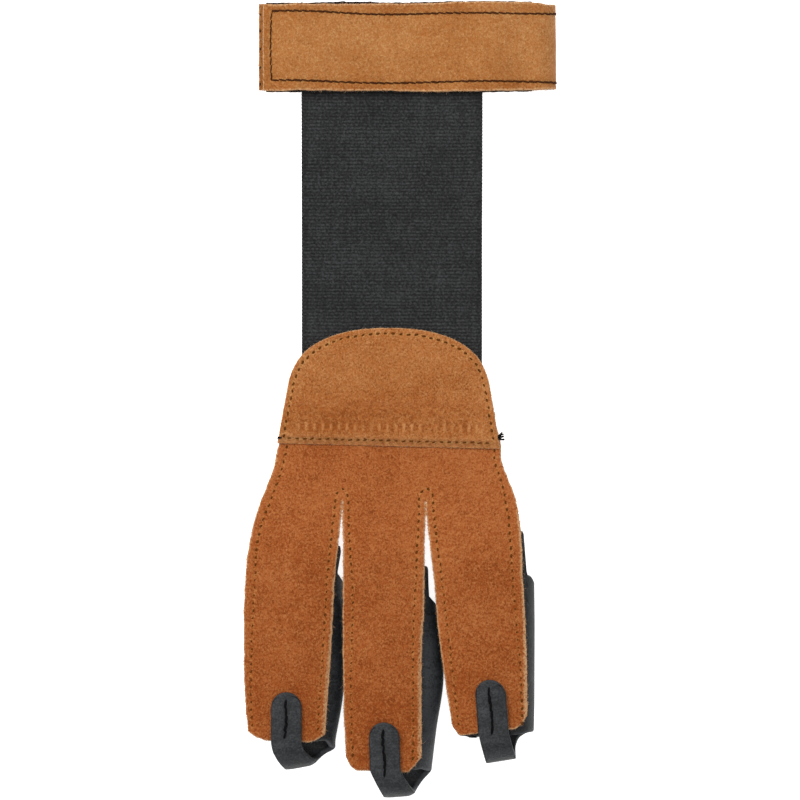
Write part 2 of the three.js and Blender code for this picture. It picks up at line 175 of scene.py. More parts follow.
# Each kind of sewing: the least and the most of a stitch's length, as shares of the pitch, and of
# its width, as shares of the thread's radius, its slant and that slant's spread in degrees, and
# how high its middle stands above its ends
SEWING = {
    "strap": {"length": (1.2, 1.36), "width": (1.0, 1.34), "slant": (-7, 3), "arch": 0.1},
    "crown": {"length": (0.34, 0.5), "width": (0.78, 0.98), "slant": (12, 9), "arch": 0.12},
    "panel": {"length": (0.3, 0.46), "width": (0.78, 0.98), "slant": (-16, 9), "arch": 0.12},
    "tongue": {"length": (1.25, 1.45), "width": (1.1, 1.7), "slant": (-7, 5), "arch": 0.14},
}


def table(columns, *rows):
    """The rows of a table, each with its values under the names of the columns."""
    return [dict(zip(columns.split(), row)) for row in rows]


# The suede of the strap, the crown and the panel: how strongly its nap shows, the radius and the
# raggedness of its rim, and its loose fibres' seed, how far below the face they begin at most, how
# many there are to a millimetre, how far they reach, and how bright they are beside the cut edge
SUEDE_PIECES = dict(
    zip(
        ("strap", "crown", "panel"),
        table(
            "contrast soften ragged seed depth density reach bright",
            (0.62, 0.22, 0.06, 101, SUEDE, 10, 0.26, 0.8),
            (0.85, 0.12, 0.05, 102, 0.6, 10, 0.24, 0.85),
            (1, 0.22, 0.07, 103, SUEDE - SUEDE_SLACK, 13, 0.28, 0.75),
        ),
    )
)


# The three strips. length is a share of PANEL_LENGTH, and stall, ear and tongue are shares of the
# lengths that they follow. tip_slant is a share of the tip's width, and lean, shift and fullness
# are shares of STALL_HEIGHT. tip_set is how much shorter the strip is than its solid, and corners
# are its tip's cut corners, left and right, each as its rise, its run and the power of its curve.
# along is a share of the strip's length, or of the stall's in swell. edges are the cut edges, as
# shares of HALF_HAND, and seams are the seams' distances from them in millimetres.
# The rest is seen at the fingertips only. tilt turns the tongue's fold, and bow is how late the
# tongue slants. web is 1 where the leather beside the tongue reaches out to its fold. wall_reach,
# wall_rise and floor_reach are how far the stall's end reaches out at the middle of its right
# wall, back at that wall's top, and out at its left. ear_from is how high up the wall an ear
# begins. sewn_to is where the tongue's stitches end, past the tip, and lap_slant is the tongue's
# slant on the strip. shade is painted shade: how much darker the stall's leather is painted, for
# the shade on its walls, or lighter, for more light, if it is below 0. The tongue's lap on the
# strip has painted light and shade of its own.
STRIPS = [
    {
        "name": "left",
        **dict(length=0.91, stall=0.56, ear=0.18, tongue=0.17, tip_slant=-0.04, tip_set=0.2),
        **dict(lean=0.38, shift=0.4, tilt=0.1, bow=2.2, web=1, lap_slant=0, sewn_to=0),
        **dict(wall_reach=3.0, wall_rise=2.8, floor_reach=0, ear_from=(0.76, 0.9), shade=-0.05),
        "corners": [(2.4, 6.5, 2.2), (2.4, 4.6, 1.3)],
        "seams": table(
            "along left right",
            (0, 2.35, 1.95),
            (0.18, 2.75, 1.95),
            (0.32, 2.2, 2.2),
            (0.47, 2.85, 2.3),
            (0.7, 2.2, 2.35),
            (1, 1.4, 2.3),
        ),
        "swell": table("along fullness", (0, 0), (0.35, 0.165), (0.7, 0.305), (1, 0.09)),
        "edges": table(
            "along left right",
            (0, -1, -0.424),
            (0.08, -1.05, -0.424),
            (0.18, -1.15, -0.424),
            (0.28, -1.232, -0.447),
            (0.45, -1.295, -0.488),
            (0.65, -1.307, -0.517),
            (0.85, -1.298, -0.552),
            (1, -1.272, -0.576),
        ),
    },
    {
        "name": "middle",
        **dict(length=1, stall=0.53, ear=0.188, tongue=0.152, tip_slant=-0.04, tip_set=0),
        **dict(lean=0.46, shift=0.4, tilt=0.04, bow=1.2, web=1, lap_slant=0.03, sewn_to=-1.6),
        **dict(wall_reach=1.2, wall_rise=1.2, floor_reach=0, ear_from=(0.72, 0.88), shade=-0.2),
        "corners": [(4.0, 3.6, 2.4), (4.4, 4.0, 1.15)],
        "seams": table(
            "along left right",
            (0.17, 1.85, 1.9),
            (0.29, 1.85, 2.15),
            (0.47, 2.75, 2.8),
            (0.7, 2.25, 2.5),
            (1, 1.95, 2.5),
        ),
        "swell": table(
            "along fullness", (0, 0.06), (0.25, 0.37), (0.47, 0.53), (0.75, 0.235), (1, 0)
        ),
        "edges": table(
            "along left right",
            (0, -0.424, 0.325),
            (0.17, -0.431, 0.325),
            (0.3, -0.42, 0.313),
            (0.45, -0.421, 0.313),
            (0.65, -0.421, 0.287),
            (0.85, -0.411, 0.287),
            (1, -0.396, 0.287),
        ),
    },
    {
        "name": "right",
        **dict(length=0.89, stall=0.545, ear=0.289, tongue=0.194, tip_slant=0.13, tip_set=1.05),
        **dict(lean=0.33, shift=0.215, tilt=0.085, bow=1.15, web=0, lap_slant=0.075, sewn_to=0.4),
        **dict(wall_reach=0, wall_rise=0, floor_reach=3.3, ear_from=(0.84, 0.9), shade=0.4),
        "corners": [(3.2, 2.6, 1.5), (3.1, 3.2, 1.6)],
        "seams": table(
            "along left right",
            (0, 2.1, 1.9),
            (0.1, 2.1, 2.0),
            (0.2, 2.1, 3.1),
            (0.4, 2.2, 3.1),
            (0.65, 2.75, 2.6),
            (0.77, 2.55, 1.95),
            (1, 2.1, 1.4),
        ),
        "swell": table("along fullness", (0, 0.222), (0.5, 0.087), (1, 0.026)),
        "edges": table(
            "along left right",
            (0, 0.325, 1),
            (0.06, 0.325, 1.006),
            (0.18, 0.317, 1.125),
            (0.3, 0.343, 1.174),
            (0.45, 0.388, 1.191),
            (0.65, 0.434, 1.218),
            (0.85, 0.505, 1.23),
            (1, 0.55, 1.23),
        ),
    },
]

# Where the glove's own origin lies in the frame, read from the elastic band's node
BAND_LOW, BAND_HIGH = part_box("elastic_band")
ORIGIN = np.array(
    [
        (BAND_LOW.x + BAND_HIGH.x) / 2 / MM - ELASTIC_OFFSET,
        BAND_HIGH.y / MM - STRAP_LOWER - ELASTIC_TUCK,
        0,
    ]
)


# Curves and height fields


def ease(a, b, at):
    """0 up to a, 1 from b on, with an S curve between: t cubed times (6 t squared - 15 t + 10)."""
    t = np.clip((np.asarray(at, float) - a) / (b - a), 0, 1)
    return t**3 * (t * (6 * t - 15) + 10)


def bell(middle, width, at):
    """1 at the middle, falling off on both sides as a bell curve."""
    return np.exp(-(((at - middle) / width) ** 2))


def read_column(rows, column, along):
    """One column of a table at the places along: a cubic through its rows, with each row's slope
    taken between its two neighbours."""
    at, value = (np.array([row[key] for row in rows], float) for key in ("along", column))
    number = np.arange(len(at))
    before = np.maximum(number - 1, 0)
    after = np.minimum(number + 1, len(at) - 1)
    slope = (value[after] - value[before]) / (at[after] - at[before])
    along = np.asarray(along, float)
    i = np.clip(np.searchsorted(at, along) - 1, 0, len(at) - 2)
    span = at[i + 1] - at[i]
    t = np.clip((along - at[i]) / span, 0, 1)
    return (
        (2 * t**3 - 3 * t**2 + 1) * value[i]
        + (t**3 - 2 * t**2 + t) * span * slope[i]
        + (3 * t**2 - 2 * t**3) * value[i + 1]
        + (t**3 - t**2) * span * slope[i + 1]
    )


def ripple(seed, size, x, y):
    """Smooth irregular waves, mostly between -1 and 1: nine plane waves about size long, added."""
    rng = np.random.default_rng(seed)
    angle, phase = rng.uniform(0, 2 * np.pi, (2, 9))
    length = size * rng.uniform(0.7, 1.5, 9)
    x, y = np.broadcast_arrays(np.asarray(x, float), np.asarray(y, float))
    path = x[..., None] * np.cos(angle) + y[..., None] * np.sin(angle)
    return np.sin(2 * np.pi * path / length + phase).sum(-1) / 3


def strip_length(strip):
    return strip["length"] * PANEL_LENGTH


def tip_y(strip):
    return -strip_length(strip)


def stall_length(strip):
    return strip["stall"] * strip_length(strip)


def entrance_y(strip):
    return tip_y(strip) + stall_length(strip)


def ear_top_y(strip):
    return entrance_y(strip) + strip["ear"] * stall_length(strip)


FIRST_ENTRANCE = max(entrance_y(strip) for strip in STRIPS)


def edge_x(strip, side, y):
    """Place of a strip's cut edge at y."""
    return HALF_HAND * read_column(strip["edges"], side, -np.asarray(y, float) / strip_length(strip))


def strip_edge(number, side, y):
    """Place of a strip's edge in the finished panel. Above the slits, neighbours share the line
    halfway between their own edges, and they part over the last 3 mm before the slit."""
    own = edge_x(STRIPS[number], side, y)
    other = number + (1 if side == "right" else -1)
    if not 0 <= other < len(STRIPS):
        return own
    shared = (own + edge_x(STRIPS[other], "left" if side == "right" else "right", y)) / 2
    return own + (shared - own) * ease(-SLIT_START - 3, -SLIT_START, y)


def edge_underside(y):
    """Height of the hand panel's underside along its cut edges: flat, then rising to the stalls."""
    return PANEL_BASE + (STRIP_BASE - PANEL_BASE) * ease(PANEL_LAP / 4, FIRST_ENTRANCE, y)


def panel_underside(strip, x, y):
    """Height of the panel's underside: each strip is higher along its middle, by a parabola."""
    left, right = edge_x(strip, "left", y), edge_x(strip, "right", y)
    across = (2 * x - left - right) / (right - left)
    swell = np.maximum(0, 1 - across**2)
    return edge_underside(y) + STRIP_CROWN * swell * ease(-SLIT_START, FIRST_ENTRANCE, y)


def crown_underside(y):
    """Height of the crown patch's underside: on the elastic, then up over the panel's edge."""
    over_panel = ease(PANEL_LAP + CROWN_SHOULDER_HEIGHT / 3, PANEL_LAP, y)
    return edge_underside(y) + (SUEDE + GAP) * over_panel


def loop_underside(x):
    """Height of the loop tape across the strap: closed on the hook tape, then up to the fold."""
    return CLOSED_LOOP_BASE + (OPEN_LOOP_BASE - CLOSED_LOOP_BASE) * ease(HOOK_RIGHT, FOLD_START, x)


def strap_front_underside(x):
    """Height of the strap's front layer, which lifts over the elastic sewn in under it."""
    left = ELASTIC_OFFSET - ELASTIC_WIDTH / 2 - GAP
    right = ELASTIC_OFFSET + ELASTIC_WIDTH / 2 + GAP
    lift = ease(STRAP_LEFT + TAPE_END_INSET, left, x) * ease(FOLD_START, right, x)
    return loop_underside(x) + LOOP_TAPE + GAP + (ELASTIC + GAP) * lift


def elastic_underside(x, y):
    """Height of the elastic: between the strap's layers at its top, on the surface further down."""
    lift = ease(CROWN_HEIGHT + ELASTIC_FREE / 8, STRAP_LOWER - GAP, y)
    return lift * (loop_underside(x) + LOOP_TAPE + GAP)


# Meshes


def across(left, right, offsets, middle):
    """Places between two edges: at fixed distances from each edge, and evenly spaced between."""
    left, right = np.asarray(left, float)[..., None], np.asarray(right, float)[..., None]
    offsets = np.asarray(offsets, float)
    inner_left, inner_right = left + offsets[-1], right - offsets[-1]
    share = np.linspace(0, 1, middle + 2)[1:-1]
    inner = inner_left + (inner_right - inner_left) * share
    return np.concatenate([left + offsets, inner, right - offsets[::-1]], axis=-1)


def grid_quads(index):
    """Quads of a grid of vertex numbers. They face the side that columns cross rows to."""
    corners = (index[:-1, :-1], index[:-1, 1:], index[1:, 1:], index[1:, :-1])
    return np.stack(corners, -1).reshape(-1, 4)


def join_grids(grids):
    """Points and quads of several grids of points, with the vertices that they share made one."""
    points = np.concatenate([grid.reshape(-1, 3) for grid in grids])
    starts = np.cumsum([0] + [grid.shape[0] * grid.shape[1] for grid in grids])
    quads = np.concatenate(
        [
            grid_quads(start + np.arange(grid.shape[0] * grid.shape[1]).reshape(grid.shape[:2]))
            for start, grid in zip(starts, grids)
        ]
    )
    _, first, number = np.unique(np.round(points, 4), axis=0, return_index=True, return_inverse=True)
    return points[first], number.reshape(-1)[quads]


def filled_loop(loop, columns, rows):
    """A grid that fills a closed loop of 2 * (columns + rows) steps: the blend of its lower and
    upper sides, plus that of its left and right sides, less that of its four corners."""
    low = loop[: columns + 1]
    right = loop[columns : columns + rows + 1]
    high = loop[columns + rows : 2 * columns + rows + 1][::-1]
    left = loop[2 * columns + rows :][::-1]
    u, v = np.linspace(0, 1, columns + 1)[None, :, None], np.linspace(0, 1, rows + 1)[:, None, None]
    corners = (1 - v) * ((1 - u) * low[0] + u * low[-1]) + v * ((1 - u) * high[0] + u * high[-1])
    return (1 - v) * low + v * high + (1 - u) * left[:, None] + u * right[:, None] - corners


def free_edge_distance(points, quads):
    """Distance from each point to the nearest vertex on an edge that only one quad has."""
    edges = np.sort(np.stack([quads, np.roll(quads, -1, 1)], -1).reshape(-1, 2), axis=1)
    kept, uses = np.unique(edges, axis=0, return_counts=True)
    rim = points[np.unique(kept[uses == 1])]
    chunks = np.array_split(points, max(1, len(points) * len(rim) // 4_000_000))
    return np.concatenate(
        [np.sqrt(((part[:, None] - rim) ** 2).sum(-1).min(1)) for part in chunks]
    )


def path_distance(path, x, y):
    """Distance in the plane from the points x, y to a path of straight stretches."""
    flat = np.stack([np.ravel(x), np.ravel(y)], -1)
    start, step = path[:-1], np.diff(path, axis=0)
    chunks = np.array_split(flat, max(1, len(flat) * len(start) // 4_000_000))
    found = []
    for part in chunks:
        away = part[:, None] - start
        share = np.clip((away * step).sum(-1) / np.maximum((step**2).sum(-1), 1e-9), 0, 1)
        found.append(np.sqrt(((away - share[..., None] * step) ** 2).sum(-1)).min(1))
    return np.concatenate(found).reshape(np.shape(x))


def run_along(path):
    """Distance along a path of straight stretches, at each of its points."""
    return np.concatenate([[0], np.cumsum(np.sqrt((np.diff(path, axis=0) ** 2).sum(1)))])


def unit(vectors):
    """Vectors with their lengths made 1."""
    return vectors / np.linalg.norm(vectors, axis=-1, keepdims=True)


def upright(count):
    """Directions straight up."""
    return np.repeat([[0.0, 0.0, 1.0]], count, 0)


def place(points):
    """The glove's own millimetres as the frame's metres."""
    return (points + ORIGIN) * MM


def make_mesh(name, points, faces, fields, material):
    """A smooth mesh object from points, a list of face arrays, and values kept on its points."""
    mesh = bpy.data.meshes.new(name)
    mesh.vertices.add(len(points))
    mesh.vertices.foreach_set("co", place(points).astype(np.float32).ravel())
    corners = np.concatenate([part.ravel() for part in faces])
    sizes = np.concatenate([np.full(len(part), part.shape[1]) for part in faces])
    starts = np.concatenate([[0], np.cumsum(sizes)[:-1]])
    mesh.loops.add(len(corners))
    mesh.loops.foreach_set("vertex_index", corners.astype(np.int32))
    mesh.polygons.add(len(sizes))
    mesh.polygons.foreach_set("loop_start", starts.astype(np.int32))
    for key, values in fields.items():
        layer = mesh.attributes.new(key, "FLOAT", "POINT")
        layer.data.foreach_set("value", np.asarray(values, np.float32).ravel())
    mesh.materials.append(material)
    mesh.update(calc_edges=True)
    if mesh.validate():
        raise RuntimeError(f"{name}: the mesh had faults")
    mesh.shade_smooth()
    made = bpy.data.objects.new(name, mesh)
    bpy.context.scene.collection.objects.link(made)
    return made


def rim_frame(points, quads):
    """Normals of an open surface, its free edges as pairs of vertex numbers in their quads' order,
    those vertices, their numbers along the free edges, and their directions out of the surface."""
    corners = [points[quads[:, i]] for i in range(4)]
    face = np.cross(corners[2] - corners[0], corners[3] - corners[1])
    normal = np.zeros_like(points)
    np.add.at(normal, quads, face[:, None])
    normal = unit(normal)
    edges = np.stack([quads, np.roll(quads, -1, 1)], -1).reshape(-1, 2)
    pairs = np.sort(edges, axis=1)
    _, kind, uses = np.unique(pairs, axis=0, return_inverse=True, return_counts=True)
    free = edges[uses[kind.reshape(-1)] == 1]
    rim, numbered = np.unique(free, return_inverse=True)
    numbered = numbered.reshape(free.shape)
    away = unit(np.cross(points[free[:, 1]] - points[free[:, 0]], normal[free[:, 0]]))
    out = np.zeros((len(rim), 3))
    np.add.at(out, numbered, away[:, None])
    return normal, free, rim, numbered, unit(out)


def sheet_mesh(name, points, quads, fields, material, above, below, soften, ragged):
    """A closed sheet round an open surface. Its two faces stand above and below the surface along
    the normals, and below may differ from point to point. Where the surface ends, a rim joins them,
    whose two corners are quarter circles of radius soften, and which wanders in and out by ragged.
    The field cut is 1 all over the rim."""
    normal, _, rim, numbered, out = rim_frame(points, quads)
    below = np.broadcast_to(below, len(points))[:, None]
    wander = ragged * ripple(5, 1.3, points[rim, 0] + 3 * points[rim, 2], points[rim, 1])
    upper, lower = points + normal * above, points - normal * below
    upper[rim] -= out * soften
    lower[rim] -= out * soften
    bend = soften * (1 - math.sqrt(0.5))
    low = below[rim]
    profile = [(-bend, above - bend), (0, above - soften), (0, soften - low), (-bend, bend - low)]
    rings = [
        points[rim] + out * (step + wander[:, None]) + normal[rim] * height for step, height in profile
    ]
    base = 2 * len(points) + len(rim) * np.arange(len(profile))[:, None] + np.arange(len(rim))
    levels = np.concatenate([rim[None], base, rim[None] + len(points)])
    start, end = levels[:, numbered[:, 0]], levels[:, numbered[:, 1]]
    wall = np.stack([start[:-1], start[1:], end[1:], end[:-1]], -1).reshape(-1, 4)
    faces = [np.concatenate([quads, quads[:, ::-1] + len(points), wall])]
    spread = {}
    for key, value in fields.items():
        spread[key] = np.concatenate([value, value] + [value[rim]] * len(profile))
    if "cut" in spread:
        spread["cut"][2 * len(points) :] = 1
    return make_mesh(name, np.concatenate([upper, lower, *rings]), faces, spread, material)


def cut_fibres(name, points, quads, kind, material):
    """Loose fibres that stand out of a sheet's cut edge. Each is a three-sided spike from a random
    place on the rim, bent once on its way to its point."""
    rng = np.random.default_rng(kind["seed"])
    normal, free, _, numbered, out = rim_frame(points, quads)
    a, b = points[free[:, 0]], points[free[:, 1]]
    length = np.linalg.norm(b - a, axis=1)
    count = int(kind["density"] * length.sum())
    pick = rng.choice(len(free), count, p=length / length.sum())
    side = (b - a)[pick] / length[pick, None]
    outward, up = out[numbered[pick, 0]], normal[free[pick, 0]]
    root = a[pick] + (b - a)[pick] * rng.random((count, 1)) - outward * 0.1
    root = root - up * rng.uniform(0.05, kind["depth"], (count, 1))
    size = kind["reach"] * rng.gamma(2.2, 0.45, (count, 1))
    lean, rise = rng.normal(0, 0.7, (count, 1)), rng.normal(0.1, 0.45, (count, 1))
    bend = rng.normal(0, 0.6, (count, 1))
    level = np.array([0, 0.5, 1])[:, None, None]
    aside = lean * level + bend * level**2
    spine = root + size * (outward * level + side * aside + up * rise * level)
    turn = np.linspace(0, 2 * np.pi, 3, endpoint=False)
    around = np.cos(turn)[:, None] * side[:, None] + np.sin(turn)[:, None] * up[:, None]
    width = FIBRE_RADIUS * np.array([1, 0.75])[:, None, None, None]
    rings = (spine[:2, :, None] + around[None] * width).transpose(1, 0, 2, 3).reshape(count, 6, 3)
    every = np.concatenate([rings, spine[2][:, None]], 1)
    every[..., 2] = np.maximum(every[..., 2], 0.02)
    ring = np.arange(6).reshape(2, 3)
    closed = np.concatenate([ring, ring[:, :1]], 1)
    tip = np.stack([closed[1, :-1], closed[1, 1:], np.full(3, 6)], -1)
    shift = 7 * np.arange(count)[:, None, None]
    faces = [
        (grid_quads(closed) + shift).reshape(-1, 4),
        (tip + shift).reshape(-1, 3),
        ring[0][::-1] + shift[:, 0],
    ]
    return make_mesh(name, every.reshape(-1, 3), faces, {}, material)


def finish_piece(made, slot, *nodes):
    """Puts a piece on the one body and hides the nodes that it stands for. Its finish, slot, is not
    used.
    """
    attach(made, "root")
    if nodes:
        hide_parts(*nodes)


def along_path(path, pitch):
    """Points every pitch along a path from half a pitch on, and the directions there."""
    length = run_along(path)
    at = np.arange(0.5 * pitch, length[-1], pitch)

    def point(s):
        return np.stack([np.interp(s, length, path[:, i]) for i in range(path.shape[1])], -1)

    return point(at), unit(point(at + pitch / 4) - point(at - pitch / 4))


def sew(name, centres, directions, normals, lengths, radius, arch, material):
    """A piece of short sewn threads. Each is a tube along its direction, with a point at each end.
    At a share u of the way from its middle to an end, its radius is multiplied by the root of 1
    less the cube of u, and it stands higher than its ends by arch times 1 less the square of u.
    None goes below the floor."""
    side = unit(np.cross(normals, directions))
    u = np.linspace(-1, 1, THREAD_RINGS + 2)[1:-1]
    turn = np.linspace(0, 2 * np.pi, THREAD_SIDES, endpoint=False)
    spine = (
        centres[:, None]
        + directions[:, None] * (lengths[:, None] / 2 * u)[..., None]
        + normals[:, None] * (arch * (1 - u**2))[None, :, None]
    )
    width = np.broadcast_to(radius, len(centres))[:, None] * np.sqrt(1 - np.abs(u) ** 3)
    round_it = side[:, None] * np.cos(turn)[:, None] + normals[:, None] * np.sin(turn)[:, None]
    rings = spine[:, :, None] + round_it[:, None] * width[..., None, None]
    ends = centres[:, None] + directions[:, None] * (lengths[:, None] / 2 * [-1, 1])[..., None]
    points = np.concatenate([rings.reshape(len(centres), -1, 3), ends], axis=1)
    points[..., 2] = np.maximum(points[..., 2], 0)
    first = THREAD_RINGS * THREAD_SIDES
    ring = np.arange(first).reshape(THREAD_RINGS, THREAD_SIDES)
    closed = np.concatenate([ring, ring[:, :1]], axis=1)
    quads = grid_quads(closed)[:, ::-1]
    fans = np.concatenate(
        [
            np.stack([closed[0, :-1], closed[0, 1:], np.full(THREAD_SIDES, first)], -1),
            np.stack([closed[-1, 1:], closed[-1, :-1], np.full(THREAD_SIDES, first + 1)], -1),
        ]
    )
    shift = ((first + 2) * np.arange(len(centres)))[:, None, None]
    faces = [(quads + shift).reshape(-1, 4), (fans + shift).reshape(-1, 3)]
    finish_piece(make_mesh(name, points.reshape(-1, 3), faces, {}, material), "thread")


# Seam paths, in the plane


def side_path(strip, side, top, bottom):
    """A seam that follows one cut edge of a strip from top to bottom."""
    y = np.linspace(top, bottom, 60)
    inset = read_column(strip["seams"], side, -y / strip_length(strip))
    return np.stack([edge_x(strip, side, y) + (inset if side == "left" else -inset), y], -1)


def slit_path(left_strip, right_strip):
    """A seam up one side of a slit, in an arch over its top, and down the other side."""
    up = side_path(left_strip, "right", tip_y(left_strip) + SLIT_SEAM_END, -SLIT_START)
    down = side_path(right_strip, "left", -SLIT_START, tip_y(right_strip) + SLIT_SEAM_END)
    middle = (up[-1, 0] + down[0, 0]) / 2
    half = (down[0, 0] - up[-1, 0]) / 2
    turn = np.linspace(np.pi, 0, 14)[1:-1]
    x = middle + half * np.cos(turn)
    arch = np.stack([x, -SLIT_START + SLIT_ARCH * half * np.sin(turn)], -1)
    return np.concatenate([up, arch, down])


def panel_seams():
    """The four seams of the hand panel: both outer edges, and round each slit."""
    left, middle, right = STRIPS
    return [
        side_path(left, "left", LEFT_SEAM_START, tip_y(left) + LEFT_SEAM_END),
        slit_path(left, middle),
        slit_path(middle, right),
        side_path(right, "right", RIGHT_SEAM_START, tip_y(right) + RIGHT_SEAM_END),
    ]


def crown_arch(inset, count=60):
    """The crown's outline from its right shoulder over the top to its left one: a superellipse that
    starts with the slant of the sides below it."""
    angle = np.linspace(0, np.pi, count)
    c, s = np.cos(angle), np.sin(angle)
    power = 2 / CROWN_ROUNDNESS
    y = (CROWN_HEIGHT - CROWN_SHOULDER_HEIGHT - inset) * s**power
    taper = (HALF_HAND - CROWN_SHOULDER) / CROWN_SHOULDER_HEIGHT * y * (1 - s**power) ** 2
    x = CROWN_OFFSET + (CROWN_SHOULDER - inset - taper) * np.sign(c) * np.abs(c) ** power
    return np.stack([x, CROWN_SHOULDER_HEIGHT + y], -1)


def crown_foot(x):
    """The crown's lower cut edge, which slants slightly down to the right."""
    return CROWN_SKEW / 3 - CROWN_SLOPE * (x - CROWN_OFFSET + HALF_HAND)


def crown_ring(inset, columns, rows):
    """The crown's outline, or one that lies inset inside it, as a closed loop of points from its
    lower left corner: columns steps along the foot, rows up the right side, columns over the top
    and rows down the left side."""
    right, left = ([[x, crown_foot(x)]] for x in (CROWN_OFFSET + HALF_HAND, CROWN_OFFSET - HALF_HAND))
    over = np.concatenate([right, crown_arch(0, 400), left])
    step = unit(np.diff(over, axis=0))
    inward = np.stack([-step[:, 1], step[:, 0]], -1)
    inward = np.concatenate([inward[:1], (inward[:-1] + inward[1:]) / 2, inward[-1:]])
    over = over + inset * inward
    lift = inset * math.hypot(1, CROWN_SLOPE)
    for end, after in ((0, 1), (-1, -2)):
        along = over[after] - over[end]
        gap = crown_foot(over[end, 0]) + lift - over[end, 1]
        over[end] = over[end] + along * gap / (along[1] + CROWN_SLOPE * along[0])
    run = run_along(over)
    turn = 0.3 * run[-1]
    at = np.concatenate(
        [
            np.linspace(0, turn, rows, endpoint=False),
            np.linspace(turn, run[-1] - turn, columns, endpoint=False),
            np.linspace(run[-1] - turn, run[-1], rows + 1),
        ]
    )
    around = np.stack([np.interp(at, run, over[:, i]) for i in range(2)], -1)
    along = np.linspace(0, 1, columns, endpoint=False)[:, None]
    return np.concatenate([over[-1] + (over[0] - over[-1]) * along, around])


def crown_seams():
    """The seam round the crown's sides and top, and the one along its lower edge."""
    foot = HALF_HAND - CROWN_SEAM_INSET - 0.2
    right = [CROWN_OFFSET + foot, crown_foot(foot) + 2.0]
    left = [CROWN_OFFSET - foot, crown_foot(-foot) + 2.0]
    around = np.concatenate([[right], crown_arch(CROWN_SEAM_INSET), [left]])
    x = np.linspace(CROWN_OFFSET - foot + 0.6, CROWN_OFFSET + foot - 0.6, 30)
    return [around, np.stack([x, crown_foot(x) + CROWN_FOOT_SEAM], -1)]


# Finished surfaces, as heights


def panel_top(strip, x, y):
    """Upper face of the hand panel without its seams: the underside, the suede and slight waves."""
    waves = 0.13 * ripple(11, 22, x, y) + 0.05 * ripple(12, 6, x, y)
    return panel_underside(strip, x, y) + SUEDE + waves


def between_press_ends(x):
    """1 over the pressed band's length, 0 beside it."""
    return ease(PRESS_HALF + 1, PRESS_HALF - 1, np.abs(x - CROWN_OFFSET))


def pressed_band(x, y):
    """The crown's pressed band, over the hidden edge of the panel: how far a place is in the band,
    and how high on one of its short upright ridges."""
    middle = PRESS_LEVEL + PRESS_SLOPE * (x - CROWN_OFFSET)
    inside = between_press_ends(x) * (1 - 0.35 * ripple(23, 9, x, 0 * x) ** 2)
    band = ease(1.3, 0.7, np.abs(y - middle)) * inside
    return band, np.maximum(0, np.cos(2 * np.pi * (x + 0.62) / PRESS_PITCH)) ** 0.8


def crown_top(x, y):
    """Upper face of the crown patch without its seams: slight waves, the pressed band's ridges and
    a faint line above them."""
    waves = 0.1 * ripple(21, 18, x, y) + 0.04 * ripple(22, 5, x, y)
    band, ridge = pressed_band(x, y)
    line = bell(8.3, 0.35, y - crown_foot(x)) * between_press_ends(x)
    return crown_underside(y) + SUEDE + waves + band * (0.3 * ridge - 0.16) - 0.12 * line


def crown_tint(x, y):
    """How much lighter the crown's suede is: on the pressed ridges and in blotches along its lower
    edge, and darker between and above the ridges, where the panel's edge rubs it from below."""
    up = y - crown_foot(x)
    band, ridge = pressed_band(x, y)
    rubbed = ease(2.6, 4, up) * ease(17, 8.5, up)
    blotches = 0.18 - 0.0016 * (x - CROWN_OFFSET) + 0.12 * ripple(24, 2.6, x, y)
    return band * (0.78 * ridge - 0.2) - 0.16 * rubbed + ease(3.4, 1.8, up) * blotches


# Materials


def fill(tree, socket, value):
    """Sets an input to a value, or joins it to an output."""
    if isinstance(value, bpy.types.NodeSocket):
        tree.links.new(value, socket)
    else:
        socket.default_value = value


def node(tree, kind, inputs=None, **settings):
    """Adds a shader node, with its settings, and each input set to a value or joined to an output."""
    made = tree.nodes.new(kind)
    for key, value in settings.items():
        setattr(made, key, value)
    for key, value in (inputs or {}).items():
        fill(tree, made.inputs[key], value)
    return made


def new_material(name, **sockets):
    """A material with one principled shader whose sockets are set, and its node tree."""
    material = bpy.data.materials.new(name)
    material.use_nodes = True
    tree = material.node_tree
    shader = tree.nodes["Principled BSDF"]
    for key, value in sockets.items():
        shader.inputs[key.replace("_", " ")].default_value = value
    return material, tree, shader


def dress(tree, shader, colour, height=None, strength=0.0, depth=0.0):
    """Joins a colour to the shader, and a bump whose depth is in millimetres."""
    tree.links.new(colour, shader.inputs["Base Color"])
    if height is not None:
        inputs = {"Height": height, "Strength": strength, "Distance": depth * MM}
        bump = node(tree, "ShaderNodeBump", inputs)
        tree.links.new(bump.outputs["Normal"], shader.inputs["Normal"])


def stretched(tree, *scale):
    """Object coordinates, squeezed by scale along each axis if it is given."""
    inputs = {"Vector": node(tree, "ShaderNodeTexCoord").outputs["Object"], "Scale": scale or (1, 1, 1)}
    return node(tree, "ShaderNodeMapping", inputs).outputs["Vector"]


def noise(tree, vector, size, detail, rough, warp=0.0):
    """Cloudy noise whose features are about size millimetres."""
    inputs = {"Vector": vector, "Scale": 1 / (size * MM), "Detail": detail, "Roughness": rough}
    inputs["Distortion"] = warp
    return node(tree, "ShaderNodeTexNoise", inputs).outputs["Fac"]


def calc(tree, operation, *values):
    """The result of a math node."""
    made = node(tree, "ShaderNodeMath", operation=operation)
    for socket, value in zip(made.inputs, values):
        fill(tree, socket, value)
    return made.outputs[0]


def weigh(tree, *pairs):
    """0.5 plus the sum of each weight times its noise less 0.5."""
    total = 0.5
    for value, weight in pairs:
        total = calc(tree, "MULTIPLY_ADD", calc(tree, "SUBTRACT", value, 0.5), weight, total)
    return total


def remap(tree, value, low, high, to_low=0.0, to_high=1.0):
    """A value taken from one range to another, and held inside it."""
    span = {"From Min": low, "From Max": high, "To Min": to_low, "To Max": to_high}
    return node(tree, "ShaderNodeMapRange", {"Value": value, **span}).outputs["Result"]


def opaque(colour, times):
    """A colour made times as bright, at most white, with its alpha."""
    return (*np.minimum(np.array(colour) * times, 1), 1)


